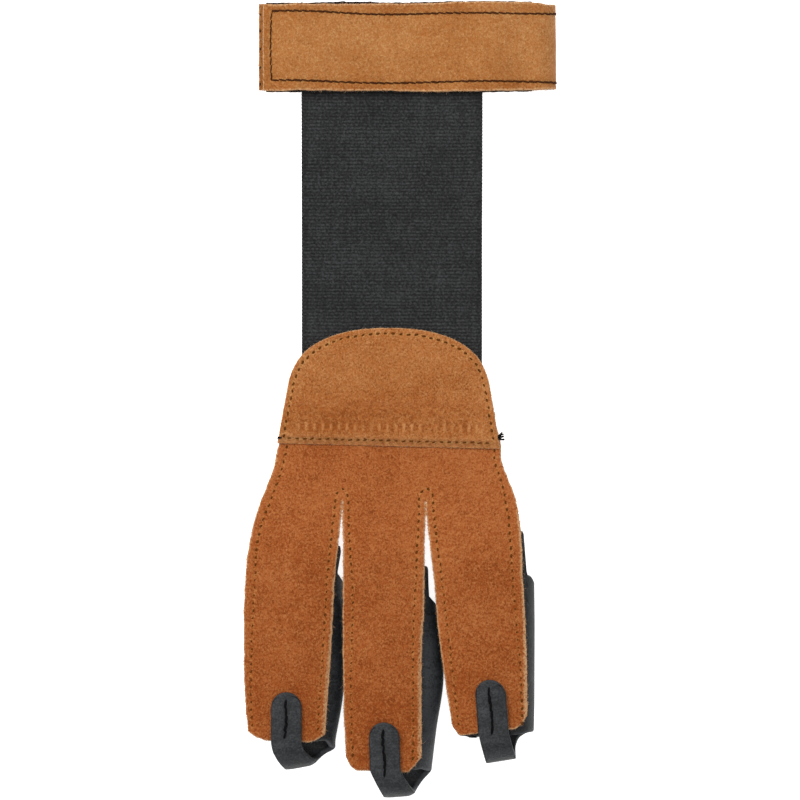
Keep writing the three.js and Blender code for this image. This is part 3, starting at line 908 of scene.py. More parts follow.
def ramp(tree, factor, colour, *stops):
    """A colour ramp. Each stop is a place and what the colour is multiplied by there."""
    made = node(tree, "ShaderNodeValToRGB", {"Fac": factor})
    elements = made.color_ramp.elements
    while len(elements) < len(stops):
        elements.new(0.5)
    for element, (at, times) in zip(elements, stops):
        element.position = at
        element.color = opaque(colour, times)
    return made.outputs["Color"]


def mix(tree, factor, a, b, blend="MIX"):
    """A colour between a and b, or a blended with b, by factor."""
    made = node(tree, "ShaderNodeMix", data_type="RGBA", blend_type=blend)
    for key, kind, value in (("Factor", "VALUE", factor), ("A", "RGBA", a), ("B", "RGBA", b)):
        fill(tree, next(s for s in made.inputs if s.name == key and s.type == kind), value)
    return next(s for s in made.outputs if s.type == "RGBA")


def attribute(tree, name):
    """A value kept on the mesh's points."""
    return node(tree, "ShaderNodeAttribute", attribute_name=name).outputs["Fac"]


def suede_material(name, colour, cut_colour, nap, contrast):
    """Suede: a short nap of matted fibres, in patches that lie different ways. It is paler where
    the leather is cut through, in a ragged line, and yellower along the seams, and it follows the
    piece's own tint."""
    material, tree, shader = new_material(
        name,
        Roughness=0.92,
        Specular_IOR_Level=0.1,
        Sheen_Weight=0.2,
        Sheen_Roughness=0.45,
        Sheen_Tint=(1.0, 0.72, 0.5, 1),
    )
    flat = stretched(tree)
    patches = noise(tree, flat, 16, 3, 0.5)
    lay = noise(tree, flat, 3.4, 3, 0.55, 0.3)
    clumps = noise(tree, flat, 0.66, 2, 0.6, 0.2)
    fibres = noise(tree, stretched(tree, 1, 0.8, 1), 0.38, 2, 0.6, 0.2)
    fine = (clumps, 1.9 * contrast), (fibres, 2.0 * contrast)
    tone = weigh(tree, (patches, 0.75), (lay, 0.62 * contrast), *fine)
    tone = calc(tree, "ADD", tone, attribute(tree, "tint"))
    dark, light = [0.62, 0.44, 0.26], [1.38, 1.66, 2.1]
    shade = ramp(tree, tone, colour, (0.05, dark), (0.5, 1), (0.95, light))
    red = remap(tree, noise(tree, flat, 1.3, 4, 0.65), 0.4, 0.65, 0, 0.5)
    warm = mix(tree, red, shade, opaque(colour, [1.0, 0.74, 0.5]))
    bared = attribute(tree, "cut")
    uneven = calc(tree, "MULTIPLY", calc(tree, "SUBTRACT", clumps, 0.5), 3.2)
    ragged = calc(tree, "MULTIPLY_ADD", uneven, bared, bared)
    pale = ramp(tree, fibres, cut_colour, (0.3, [0.66, 0.6, 0.55]), (0.7, 1))
    edged = mix(tree, remap(tree, ragged, 0.25, 0.95), warm, pale)
    line = calc(tree, "POWER", attribute(tree, "seam"), 2.0)
    sewn = calc(tree, "MULTIPLY", line, remap(tree, clumps, 0.35, 0.62))
    tinted = mix(tree, sewn, edged, (1.12, 1.38, 1.4, 1), "MULTIPLY")
    height = weigh(tree, (clumps, 0.8), (fibres, 1.0), (lay, 0.3))
    dress(tree, shader, tinted, height, nap, 0.4)
    return material


def fibre_material(name, colour):
    """Loose leather fibres: soft and pale, a little uneven."""
    material, tree, shader = new_material(name, Roughness=0.95, Sheen_Weight=0.3)
    uneven = noise(tree, stretched(tree), 0.8, 2, 0.6)
    dress(tree, shader, ramp(tree, uneven, colour, (0.3, 0.5), (0.7, 1.15)))
    return material


def leather_material(name, colour, grain, depth):
    """Stall leather: a fine pebble grain with a satin top, creased where it bends and dark in its
    seams. It is paler along its cut edges, partly from wear and partly as a painted highlight, and
    the attribute shade is painted shade, which darkens it, or lightens it where it is below 0."""
    material, tree, shader = new_material(name, Specular_IOR_Level=0.28)
    flat = stretched(tree)
    inputs = {"Vector": flat, "Scale": 1 / (grain * MM), "Smoothness": 0.35, "Randomness": 0.95}
    pebbles = node(tree, "ShaderNodeTexVoronoi", inputs, feature="SMOOTH_F1").outputs["Distance"]
    fine = noise(tree, flat, 0.5, 3, 0.6)
    cloud = noise(tree, flat, 5, 4, 0.6)
    creases = noise(tree, stretched(tree, 0.35, 1.6, 1), 2.2, 3, 0.6)
    tone = weigh(tree, (cloud, 0.8), (fine, 2.0), (creases, 1.1))
    # The attribute shade is painted shade: it darkens the leather, or lightens it where it is below 0
    tone = calc(tree, "SUBTRACT", tone, attribute(tree, "shade"))
    shade = ramp(tree, tone, colour, (0.2, 0.45), (0.5, 1), (0.8, 1.9))
    # Paler along the cut edges: partly real wear and partly a painted highlight on the rim
    worn_and_highlit = calc(tree, "MULTIPLY", attribute(tree, "cut"), calc(tree, "MULTIPLY", cloud, 0.8))
    rubbed = mix(tree, worn_and_highlit, shade, opaque(colour, 3.2))
    sunk = calc(tree, "MULTIPLY", attribute(tree, "seam"), 0.85)
    sewn = mix(tree, sunk, rubbed, opaque(colour, 0.15))
    tree.links.new(remap(tree, cloud, 0, 1, 0.5, 0.72), shader.inputs["Roughness"])
    height = weigh(tree, (pebbles, -0.7), (fine, 0.6), (cloud, 0.5), (creases, 1.6))
    dress(tree, shader, sewn, height, depth, 0.22)
    return material


def elastic_material(name, colour, pitch):
    """Woven elastic. Each rib is a row of short bright loops, and the rows are set like bricks. The
    attribute weft counts ribs and warp counts loops, so that the pattern follows the cloth, and
    selvedge is how much darker a place is: at the sides, and just under the strap, where it is
    painted shadow."""
    material, tree, shader = new_material(
        name, Roughness=0.85, Specular_IOR_Level=0.2, Sheen_Weight=0.15, Sheen_Roughness=0.4
    )
    flat = stretched(tree)
    weft, warp = attribute(tree, "weft"), attribute(tree, "warp")
    row = calc(tree, "ROUND", weft)
    up = calc(tree, "SUBTRACT", weft, row)
    shifted = calc(tree, "MULTIPLY_ADD", calc(tree, "PINGPONG", row, 1.0), 0.5, warp)
    uneven = calc(tree, "MULTIPLY_ADD", noise(tree, flat, 2.4, 2, 0.5), 0.7, shifted)
    beside = calc(tree, "SUBTRACT", calc(tree, "FRACT", uneven), 0.5)
    tall = calc(tree, "COSINE", calc(tree, "MULTIPLY", up, math.pi))
    wide = calc(tree, "COSINE", calc(tree, "MULTIPLY", beside, math.pi))
    loop = calc(tree, "MULTIPLY", tall, calc(tree, "MULTIPLY_ADD", wide, 0.5, 0.5))
    dust = noise(tree, flat, 0.55, 3, 0.65)
    drift = noise(tree, stretched(tree, 0.4, 1, 1), 6, 3, 0.5)
    streaks = noise(tree, stretched(tree, 1, 0.06, 1), 0.9, 2, 0.5)
    tone = weigh(tree, (loop, 0.32), (dust, 2.3), (drift, 0.5), (streaks, 0.4))
    tone = calc(tree, "SUBTRACT", tone, attribute(tree, "selvedge"))
    shade = ramp(tree, tone, colour, (0.1, 0.35), (0.5, 1), (0.95, [2.4, 2.45, 2.5]))
    dress(tree, shader, shade, weigh(tree, (loop, 0.9), (dust, 0.8)), 0.5, pitch / 3)
    return material


def tape_material(name, colour):
    """Hook and loop tape: a dense mat of tiny loops."""
    material, tree, shader = new_material(name, Roughness=0.9, Specular_IOR_Level=0.1)
    loops = noise(tree, stretched(tree), 0.4, 3, 0.7, 1.0)
    dress(tree, shader, ramp(tree, loops, colour, (0.3, 0.5), (0.75, 2.2)), loops, 0.8, 0.3)
    return material


def thread_material(name, colour):
    """Waxed thread: dark, with the faint streaks of its plies."""
    material, tree, shader = new_material(name, Roughness=0.8, Specular_IOR_Level=0.05)
    plies = noise(tree, stretched(tree), 0.25, 2, 0.5)
    dress(tree, shader, ramp(tree, plies, colour, (0.3, 0.6), (0.75, 1.9)), plies, 0.6, 0.1)
    return material


def floor_material(name, colour):
    """Matte paper with a barely visible tooth, which glows enough to stay pale under the glove."""
    material, tree, shader = new_material(
        name,
        Roughness=0.95,
        Specular_IOR_Level=0.1,
        Emission_Color=(1, 1, 1, 1),
        Emission_Strength=0.85,
    )
    tooth = noise(tree, stretched(tree), 0.8, 3, 0.6)
    dress(tree, shader, ramp(tree, tooth, colour, (0.2, 0.99), (0.8, 1.005)))
    return material


# Settings


def colour_setting(name, description, default):
    """A colour."""
    return bpy.props.FloatVectorProperty(
        name=name, description=description, default=default, size=3, min=0, max=1, subtype="COLOR"
    )


def share_setting(name, description, default):
    """A number from 0 to 1."""
    return bpy.props.FloatProperty(
        name=name, description=description, default=default, min=0, max=1, subtype="FACTOR"
    )


def size_setting(name, description, default, low, high):
    """A length in millimetres."""
    words = description + ", in millimetres"
    return bpy.props.FloatProperty(name=name, description=words, default=default, min=low, max=high)


def light_setting(name, description, default, unit="NONE"):
    """The strength or the power of a light."""
    return bpy.props.FloatProperty(
        name=name, description=description, default=default, min=0, unit=unit
    )


class GloveSuede(bpy.types.PropertyGroup):
    """The suede's colours and nap."""

    strap_colour: colour_setting("Strap", "Colour of the wrist strap's suede", (0.331, 0.138, 0.041))
    crown_colour: colour_setting("Crown", "Colour of the crown patch's suede", (0.325, 0.12, 0.034))
    panel_colour: colour_setting("Panel", "Colour of the hand panel's suede", (0.283, 0.083, 0.02))
    cut_colour: colour_setting("Cut edge", "Colour where the suede is cut through", (0.58, 0.33, 0.16))
    nap: share_setting("Nap", "How rough the nap looks", 0.6)


class GloveLeather(bpy.types.PropertyGroup):
    """The stall leather's colour and grain."""

    colour: colour_setting("Leather", "Colour of the finger stalls", (0.0165, 0.018, 0.0198))
    grain: size_setting("Grain", "Size of the pebble grain", 0.75, 0.2, 3)
    depth: share_setting("Depth", "How deep the grain looks", 0.45)


class GloveElastic(bpy.types.PropertyGroup):
    """The elastic band's colour and ribs."""

    colour: colour_setting("Elastic", "Colour of the elastic band", (0.0172, 0.0176, 0.0179))
    rib_pitch: size_setting("Rib pitch", "Distance between ribs", 0.963, 0.5, 3)
    rib_depth: size_setting("Rib depth", "Height of a rib", 0.2, 0, 1)


class GloveThread(bpy.types.PropertyGroup):
    """The sewing thread."""

    strap_colour: colour_setting("Strap", "Colour of the strap's thread", (0.045, 0.014, 0.004))
    panel_colour: colour_setting("Panel", "Colour of the panel's thread", (0.085, 0.027, 0.003))
    stall_colour: colour_setting("Stalls", "Colour of the stalls' thread", (0.003, 0.003, 0.0035))
    pitch: size_setting("Pitch", "Length of one stitch and its gap", 2.14, 1, 5)
    radius: size_setting("Radius", "Half the thread's thickness", 0.26, 0.1, 1)


class GloveStage(bpy.types.PropertyGroup):
    """The floor and the lights."""

    floor_colour: colour_setting("Floor", "Colour of the floor", (0.8, 0.8, 0.8))
    sky: light_setting("Sky", "Strength of the light all round", 0.62)
    key: light_setting("Key light", "Power of the main light", 6.0, "POWER")
    fill: light_setting("Top light", "Power of the light overhead", 5.0, "POWER")


# Pieces


def dip_at_seams(x, y, paths):
    """How near points are to the seams: 1 on a seam, falling off as a bell curve."""
    return bell(0, SEAM_DIP_WIDTH, np.min([path_distance(path, x, y) for path in paths], axis=0))


def suede_piece(part, node_name, points, quads, fields, below):
    """A suede piece that stands for one node, and the loose fibres of its cut edge."""
    suede = bpy.context.scene.glove_suede
    kind = SUEDE_PIECES[part]
    colour = getattr(suede, part + "_colour")
    material = suede_material(part + "_suede", colour, suede.cut_colour, suede.nap, kind["contrast"])
    rim = kind["soften"], kind["ragged"]
    made = sheet_mesh(node_name + "_suede", points, quads, fields, material, 0, below, *rim)
    loose = fibre_material(part + "_fibres", np.array(suede.cut_colour) * kind["bright"])
    finish_piece(cut_fibres(part + "_fuzz", points, quads, kind, loose), "suede")
    finish_piece(made, "suede", node_name)


def strap_waves(x, y, upward):
    """Slight waves of the strap's outer face, which fade out round the fold. upward is the height
    that the face's outward direction has."""
    return (0.12 * ripple(33, 20, x, y) + 0.05 * ripple(34, 6, x, y)) * ease(-1, 1, upward)


def strap_bow(x):
    """How far the strap's upper and lower edges stand off their straight lines: bulged a little
    over the closure by bell curves, and drawn in at the fold."""
    at_fold = ease(FOLD_START - 2, STRAP_RIGHT, x)
    upper = 0.1 + 0.36 * bell(26, 14, x) - 0.46 * at_fold
    return upper, 0.3 * at_fold - 0.4 * bell(17, 18, x)


def strap_profile():
    """The strap's outer face in the XZ plane: the front layer from its left end, round the fold
    and back along the back layer. Gives the points and the outward directions there."""
    x = np.linspace(STRAP_LEFT, FOLD_START, 150)
    z = strap_front_underside(x) + SUEDE
    slope = np.gradient(z, x)
    up = unit(np.stack([-slope, np.ones_like(slope)], -1))
    front = np.stack([x, z], -1)
    turn = np.linspace(np.pi / 2, -np.pi / 2, 34)[1:-1]
    out = np.stack([np.cos(turn), np.sin(turn)], -1)
    fold = [FOLD_START, FOLD_RADIUS] + FOLD_RADIUS * out
    x = np.linspace(FOLD_START, STRAP_LEFT - STRAP_BACK_EXTRA, 120)
    back = np.stack([x, 0 * x], -1)
    down = np.repeat([[0.0, -1.0]], len(x), 0)
    return np.concatenate([front, fold, back]), np.concatenate([up, out, down])


def strap_seams():
    """The strap's seams, as distance along it from its front end, and Y: the two long lines round
    the fold, a line beside the front end, and one beside the back end. The long lines waver as
    sine curves and keep further from the edges at the front."""
    total = run_along(strap_profile()[0])[-1]
    s = np.linspace(STRAP_END_SEAM, total - 4, 200)
    nearer = ease(STRAP_END_SEAM, 40, s)
    top = STRAP_LOWER + STRAP_WIDTH - 1.9 - 0.9 * nearer + 0.13 * np.sin(s / 7)
    low = STRAP_LOWER + 2.7 - 0.5 * nearer + 0.2 * np.sin(s / 9 + 1)
    y = np.linspace(low[0], top[0], 20)
    front = STRAP_END_SEAM - 0.35 * np.sin(np.pi * (y - low[0]) / (top[0] - low[0]))
    back = np.stack([np.full(20, total - 2.0), y + 0.4], -1)
    return [np.stack([s, top], -1), np.stack([s, low], -1), np.stack([front, y], -1), back]


class GLOVE_OT_wrist_strap(bpy.types.Operator):
    """Makes the folded suede wrist strap"""

    bl_idname = "glove.wrist_strap"
    bl_label = "Wrist strap"

    def execute(self, context):
        along, outward = strap_profile()
        width = across(np.array([0.0]), np.array([STRAP_WIDTH]), EDGE_COLUMNS, 22)[0]
        back = ease(-1, 1, -outward[:, 1])[:, None]
        x = np.repeat(along[:, :1], len(width), 1)
        share = width[None] / STRAP_WIDTH
        upper, lower = strap_bow(x)
        y = STRAP_LOWER + width[None] + share * upper + (1 - share) * lower
        y = y + STRAP_BACK_SHIFT * back
        at_edge = ease(3.9, 0, np.minimum(width, STRAP_WIDTH - width))[None]
        y = y + 0.07 * ripple(31, 7, x, 40 * back) * at_edge
        seam = dip_at_seams(run_along(along)[:, None] + 0 * y, y, strap_seams())
        out = strap_waves(x, y, outward[:, 1:]) - SEAM_DIP * seam
        grid = np.stack([x + outward[:, :1] * out, y, along[:, 1:] + outward[:, 1:] * out], -1)
        points, quads = join_grids([grid])
        rim = free_edge_distance(points, quads)
        _, order = np.unique(np.round(grid.reshape(-1, 3), 4), axis=0, return_index=True)
        bare = np.where(points[:, 0] < STRAP_LEFT + 1.5, 0.35, 0.7)
        fields = {
            "cut": bare * ease(1.0, 0.1, rim),
            "seam": seam.ravel()[order],
            "tint": 0.05 * np.clip(points[:, 0] / 35, -1, 1) - 0.13 * ease(4.5, 1.5, rim),
        }
        suede_piece("strap", "wrist_strap", points, quads[:, ::-1], fields, SUEDE)
        return {"FINISHED"}


class GLOVE_OT_closure_tapes(bpy.types.Operator):
    """Makes the hook and loop tapes inside the wrist strap"""

    bl_idname = "glove.closure_tapes"
    bl_label = "Closure tapes"

    def execute(self, context):
        material = tape_material("closure_tape", (0.012, 0.0075, 0.006))
        x = np.linspace(STRAP_LEFT + TAPE_END_INSET, FOLD_START - TAPE_END_INSET, 120)[:, None]
        y = np.linspace(0, STRAP_WIDTH, 14)[None] + STRAP_LOWER - LOOP_TAPE_SHOW
        share = (y - y.min()) / STRAP_WIDTH
        upper, lower = strap_bow(x)
        peek = 0.9 + 0.3 * np.exp(-(((x + 11) / 8) ** 4)) - 0.2 * ease(16, 22, x)
        y = y + share * (upper + peek) + (1 - share) * lower + 0.05 * ripple(41, 3, x, y)
        top = loop_underside(x) + LOOP_TAPE
        made = tape_mesh("loop_tape_cloth", x, y, top, LOOP_TAPE, 0.05, material)
        finish_piece(made, "tape", "loop_tape")
        x = np.linspace(STRAP_LEFT + TAPE_END_INSET, HOOK_RIGHT, 40)[:, None]
        low = STRAP_LOWER + STRAP_BACK_SHIFT + (STRAP_WIDTH - HOOK_TAPE_WIDTH) / 2
        y = np.linspace(low, low + HOOK_TAPE_WIDTH, 24)[None]
        top = SUEDE + GAP + HOOK_TAPE + 0.05 * ripple(42, 2, x, y)
        made = tape_mesh("hook_tape_cloth", x, y, top, HOOK_TAPE - 0.05, 0.03, material)
        finish_piece(made, "tape", "hook_tape")
        return {"FINISHED"}


def tape_mesh(name, x, y, top, thickness, ragged, material):
    """A tape whose upper face is at the height top."""
    points, quads = join_grids([np.stack(np.broadcast_arrays(x, y, top), -1)])
    return sheet_mesh(name, points, quads[:, ::-1], {}, material, 0, thickness, 0.2, ragged)


class GLOVE_OT_elastic_band(bpy.types.Operator):
    """Makes the ribbed elastic band"""

    bl_idname = "glove.elastic_band"
    bl_label = "Elastic band"

    def execute(self, context):
        settings = context.scene.glove_elastic
        material = elastic_material("ribbed_elastic", settings.colour, settings.rib_pitch)
        low, high = CROWN_HEIGHT - ELASTIC_LAP, STRAP_LOWER + ELASTIC_TUCK
        ribs = round((high - low) / settings.rib_pitch)
        y = np.linspace(low, high, ribs * 5 + 1)[:, None]
        left = ELASTIC_OFFSET - ELASTIC_WIDTH / 2
        right = left + ELASTIC_WIDTH
        x = across(np.array([left]), np.array([right]), (0, 0.25, 0.6, 1, 1.5, 2), 34)
        phase = 2 * np.pi * (y - low) / settings.rib_pitch + 0.5 * ripple(51, 7, x, y)
        side = np.minimum(x - left, right - x)
        selvedge = ease(1.9, 1.2, side)
        rib = np.abs(np.cos(phase / 2)) ** 0.8
        x = x + 0.04 * np.cos(phase) * ease(0.7, 0, side) * np.sign(x - ELASTIC_OFFSET)
        relief = settings.rib_depth * (rib * (1 - 0.75 * selvedge) - 0.6)
        base = elastic_underside(x, y) + 0.1 * ripple(52, 30, x, y) * ease(low + 35, low + 55, y)
        top = np.stack(np.broadcast_arrays(x, y, base + ELASTIC + relief), -1)
        bottom = np.stack(np.broadcast_arrays(x, y, np.maximum(base - relief * 0.6, 0)), -1)
        # Painted shadow: the elastic is darker just under the strap's lower edge, carried in selvedge
        shadow_under_strap = 0.3 * ease(STRAP_LOWER - 3.5, STRAP_LOWER, y)
        fields = {
            "weft": phase / (2 * np.pi),
            "warp": x / LOOP_WIDTH,
            "selvedge": np.broadcast_to(0.12 * selvedge + shadow_under_strap, phase.shape),
        }
        made = closed_band("elastic_band_weave", top, bottom, fields, material)
        finish_piece(made, "elastic", "elastic_band")
        return {"FINISHED"}


def closed_band(name, top, bottom, fields, material):
    """A closed band between an upper and a lower grid of points."""
    rows, columns = top.shape[:2]
    upper = np.arange(rows * columns).reshape(rows, columns)
    lower = upper + rows * columns
    strips = [
        grid_quads(upper),
        grid_quads(lower)[:, ::-1],
        grid_quads(np.stack([upper[:, 0], lower[:, 0]], 1))[:, ::-1],
        grid_quads(np.stack([upper[:, -1], lower[:, -1]], 1)),
        grid_quads(np.stack([lower[0], upper[0]], 0)),
        grid_quads(np.stack([lower[-1], upper[-1]], 0))[:, ::-1],
    ]
    points = np.concatenate([top.reshape(-1, 3), bottom.reshape(-1, 3)])
    doubled = {key: np.tile(np.ravel(value), 2) for key, value in fields.items()}
    return make_mesh(name, points, [np.concatenate(strips)], doubled, material)


class GLOVE_OT_crown_patch(bpy.types.Operator):
    """Makes the crown patch over the back of the hand"""

    bl_idname = "glove.crown_patch"
    bl_label = "Crown patch"

    def execute(self, context):
        columns, rows = 160, 64
        rings = np.stack([crown_ring(inset, columns, rows) for inset in EDGE_COLUMNS])
        middle = filled_loop(rings[-1], columns, rows)
        points, quads = join_grids([np.pad(grid, ((0, 0), (0, 0), (0, 1))) for grid in (rings, middle)])
        x, y = points[:, 0], points[:, 1]
        up = y - crown_foot(x)
        rim = free_edge_distance(points, quads)
        seam = dip_at_seams(x, y, crown_seams())
        skived = 0.9 * ease(2.4, 0.2, up)
        pressed = 0.42 * ease(3.4, 0.2, up)
        points[:, 2] = crown_top(x, y) - SEAM_DIP * seam - 0.3 * ease(0.9, 0, rim) - skived - pressed
        fields = {
            "cut": 0.75 * ease(0.5, 0.0, rim) * (1 - skived),
            "seam": seam,
            "tint": crown_tint(x, y) + 0.06 * ease(2.6, 1, rim),
        }
        suede_piece("crown", "crown_patch", points, quads, fields, SUEDE - SUEDE_SLACK - skived)
        return {"FINISHED"}


class GLOVE_OT_hand_panel(bpy.types.Operator):
    """Makes the hand panel, slit into three finger strips"""

    bl_idname = "glove.hand_panel"
    bl_label = "Hand panel"

    def execute(self, context):
        grids = [strip_grid(number) for number in range(len(STRIPS))]
        points, quads = join_grids([grid[..., :3] for grid in grids])
        every = np.concatenate([grid.reshape(-1, 5) for grid in grids])
        _, order = np.unique(np.round(every[:, :3], 4), axis=0, return_index=True)
        to_right, pared = every[order, 3:].T
        y = points[:, 1]
        seam = dip_at_seams(points[:, 0], y, panel_seams())
        rim = free_edge_distance(points, quads)
        skived = ease(1.25, 0.1, to_right) * pared
        points[:, 2] -= SEAM_DIP * seam + 0.25 * ease(0.9, 0, rim) + 0.42 * skived
        pale = ease(1.3 + 0.7 * ease(-40, -72, y), 0.15, to_right) * pared
        paler_to_wrist = 0.13 * ease(-48, -4, y) - 0.03
        darker_to_tips = 0.16 * ease(-56, -80, y)
        fields = {
            "cut": np.maximum(0.72 * ease(1.0, 0.0, rim), pale),
            "seam": seam,
            "tint": 0.08 * ease(2.6, 0.8, rim) + paler_to_wrist - darker_to_tips,
        }
        suede_piece("panel", "hand_panel", points, quads[:, ::-1], fields, SUEDE - SUEDE_SLACK)
        return {"FINISHED"}


def strip_grid(number):
    """The upper face of a strip and of the panel above it, as a grid of X, Y, Z, the distance to
    its right cut edge, and how far that edge is pared. Rows go down to the tip, whose corners are
    cut: there each column ends earlier, by a corner's rise times a power of what is left of its
    run."""
    strip = STRIPS[number]
    tip = tip_y(strip)
    outer_left, outer_right = number == 0, number == len(STRIPS) - 1
    upper = np.linspace(PANEL_LAP, -SLIT_START, 46)
    near_tip = tip + np.array(EDGE_COLUMNS)[::-1]
    lower = np.linspace(-SLIT_START, near_tip[0], 130)[1:-1]
    rows = np.concatenate([upper, lower, near_tip])
    free = ease(-SLIT_START, -SLIT_START - 4, rows)
    lap = ease(-2, PANEL_LAP, rows) * PANEL_LAP_INSET
    ragged_left = 0.06 * ripple(61 + number, 5, rows, 0 * rows) * (1 if outer_left else free)
    ragged_right = 0.06 * ripple(71 + number, 4, rows, 0 * rows) * (1 if outer_right else free)
    left = strip_edge(number, "left", rows) + ragged_left + lap * outer_left
    right = strip_edge(number, "right", rows) + ragged_right - lap * outer_right
    x = across(left, right, EDGE_COLUMNS, 14)
    y = np.repeat(rows[:, None], x.shape[1], 1)
    to_right = right[:, None] - x
    middle = (edge_x(strip, "left", tip) + edge_x(strip, "right", tip)) / 2
    cut = sum(
        rise * np.clip(1 - away / run, 0, 1) ** power
        for away, (rise, run, power) in zip((x - left[:, None], to_right), strip["corners"])
    )
    y = y + (strip["tip_slant"] * (x - middle) + cut + strip["tip_set"]) * ease(tip + 16, tip, y)
    y = y + 0.07 * ripple(81, 2.6, x, 0 * x) * ease(tip + 3, tip, rows)[:, None]
    pared = ease(-12, -24, rows) if outer_right else ease(-26, -42, rows)
    pared = np.repeat(pared[:, None], x.shape[1], 1)
    return np.stack([x, y, panel_top(strip, x, y), to_right, pared], -1)


class GLOVE_OT_finger_stalls(bpy.types.Operator):
    """Makes the three leather finger stalls with their tongues"""

    bl_idname = "glove.finger_stalls"
    bl_label = "Finger stalls"

    def execute(self, context):
        leather = context.scene.glove_leather
        material = leather_material("stall_leather", leather.colour, leather.grain, leather.depth)
        half = STALL / 2
        for strip in STRIPS:
            points, quads = join_grids(stall_grids(strip))
            rim = free_edge_distance(points, quads)
            seam = tongue_seam_nearness(strip, points)
            points[:, 2] += 0.03 * ripple(91, 3, points[:, 0], points[:, 1])
            # Painted light and shade on the tongue's lap: lighter on its left and darker on its right,
            # as the light falls, and darker round its rim, partly for its black cut edge and partly as
            # painted shadow
            across_lap = (points[:, 0] - tongue_middle(strip, points[:, 1], 1.0)) / TONGUE_HALF
            lap_painted_shade = 0.09 * across_lap + 0.4 * ease(0.4, 0, rim)
            fields = {
                "cut": ease(0.45, 0.0, rim),
                "seam": seam,
                # On the stall below the lap, the leather takes the strip's shade, which is painted
                # shade
                "shade": np.where(points[:, 2] < STALL_HEIGHT, strip["shade"], lap_painted_shade),
            }
            name = f"finger_stall_{strip['name']}"
            made = sheet_mesh(name + "_leather", points, quads, fields, material, half, half, 0.4, 0.02)
            finish_piece(made, "stall_leather", name)
        return {"FINISHED"}


def bezier(points, t):
    """A cubic Bezier curve through control points, at t."""
    a, b, c, d = points
    return (1 - t) ** 3 * a + 3 * (1 - t) ** 2 * t * b + 3 * (1 - t) * t**2 * c + t**3 * d


def stall_section(strip, y, share):
    """Middle of the stall's wall at y, for shares of its section from the left flange under the
    finger to the right flange: straight flanges and floor, joined by two cubic walls. Gives X and Z."""
    to_tip = np.clip((entrance_y(strip) - y) / stall_length(strip), 0, 1)
    opened = ease(ear_top_y(strip), entrance_y(strip), y)
    lean = STALL_HEIGHT * strip["lean"] * opened
    fullness = STALL_HEIGHT * read_column(strip["swell"], "fullness", to_tip) * opened
    left = edge_x(strip, "left", y) + STALL_EDGE_INSET
    right = edge_x(strip, "right", y) - STALL_EDGE_INSET + STALL_EAR_SHOW * (1 - opened)
    top = edge_underside(y) - GAP - STALL / 2
    low = STALL / 2 + 0 * top
    fold, foot, tuck = 1.5 * STALL, 0.36 * STALL_HEIGHT, 0.22 * STALL_HEIGHT
    t = [np.clip((share - a) / (b - a), 0, 1) for a, b in zip(SECTION[:-1], SECTION[1:])]
    left_wall = [left + fold, left - fold / 4, left + lean - tuck, left + lean + foot]
    right_top = right + fullness
    right_wall = [right + lean - foot, right_top + lean, right_top + fold / 4, right - fold]
    x = [
        left + STALL_FLANGE + (fold - STALL_FLANGE) * t[0],
        bezier(left_wall, t[1]),
        left + lean + foot + (right - left - 2 * foot) * t[2],
        bezier(right_wall, t[3]),
        right - fold + (fold - STALL_FLANGE) * t[4],
    ]
    z = [top, bezier([top, top, low, low], t[1]), low, bezier([low, low, top, top], t[3]), top]
    where = [share <= end for end in SECTION[1:5]]
    z = [np.broadcast_to(part, np.shape(x[1])) for part in z]
    return np.select(where, x[:4], x[4]), np.select(where, z[:4], z[4])


def stall_grids(strip):
    """The stall as two grids that share a row. The sleeve's rows run from its scooped mouth, whose
    ears reach up under the strip, to its end. The tongue's rows carry on from its floor."""
    ear, entrance, tip = ear_top_y(strip), entrance_y(strip), tip_y(strip)
    parts = [
        np.linspace(a, b, count)[:-1] for a, b, count in zip(SECTION, SECTION[1:], (4, 22, 10, 22, 4))
    ]
    share = np.concatenate([*parts, [1.0]])
    _, end_z = stall_section(strip, np.full(share.shape, entrance), share)
    up = (end_z - STALL / 2) / (STALL_HEIGHT - STALL)
    mouth = entrance + MOUTH_REACH - ENTRANCE_SLANT * (1 - up)
    mouth = mouth + (ear - mouth) * ease(*strip["ear_from"], up)
    mouth = mouth + 0.12 * ripple(92, 3, 40 * share, 0 * share)
    end = tip + STALL_TIP_SET * (1 - share) - strip["wall_reach"] * ease(0.5, 0.72, share)
    end = end + strip["wall_rise"] * ease(0.72, 0.88, share)
    end = end - strip["floor_reach"] * ease(0.2, 0.32, share) * ease(0.46, 0.4, share)
    y = mouth + (end - mouth) * np.linspace(0, 1, 64)[:, None]
    x, z = stall_section(strip, y, np.broadcast_to(share, y.shape))
    sleeve = np.stack([x, y, z], -1)
    kept = np.flatnonzero((share >= TONGUE_FROM) & (share <= TONGUE_TO))
    return sleeve, tongue_grid(strip, sleeve[-1, kept])


def tongue_length(strip):
    """How far a tongue laps over its strip."""
    return strip["tongue"] * strip_length(strip)


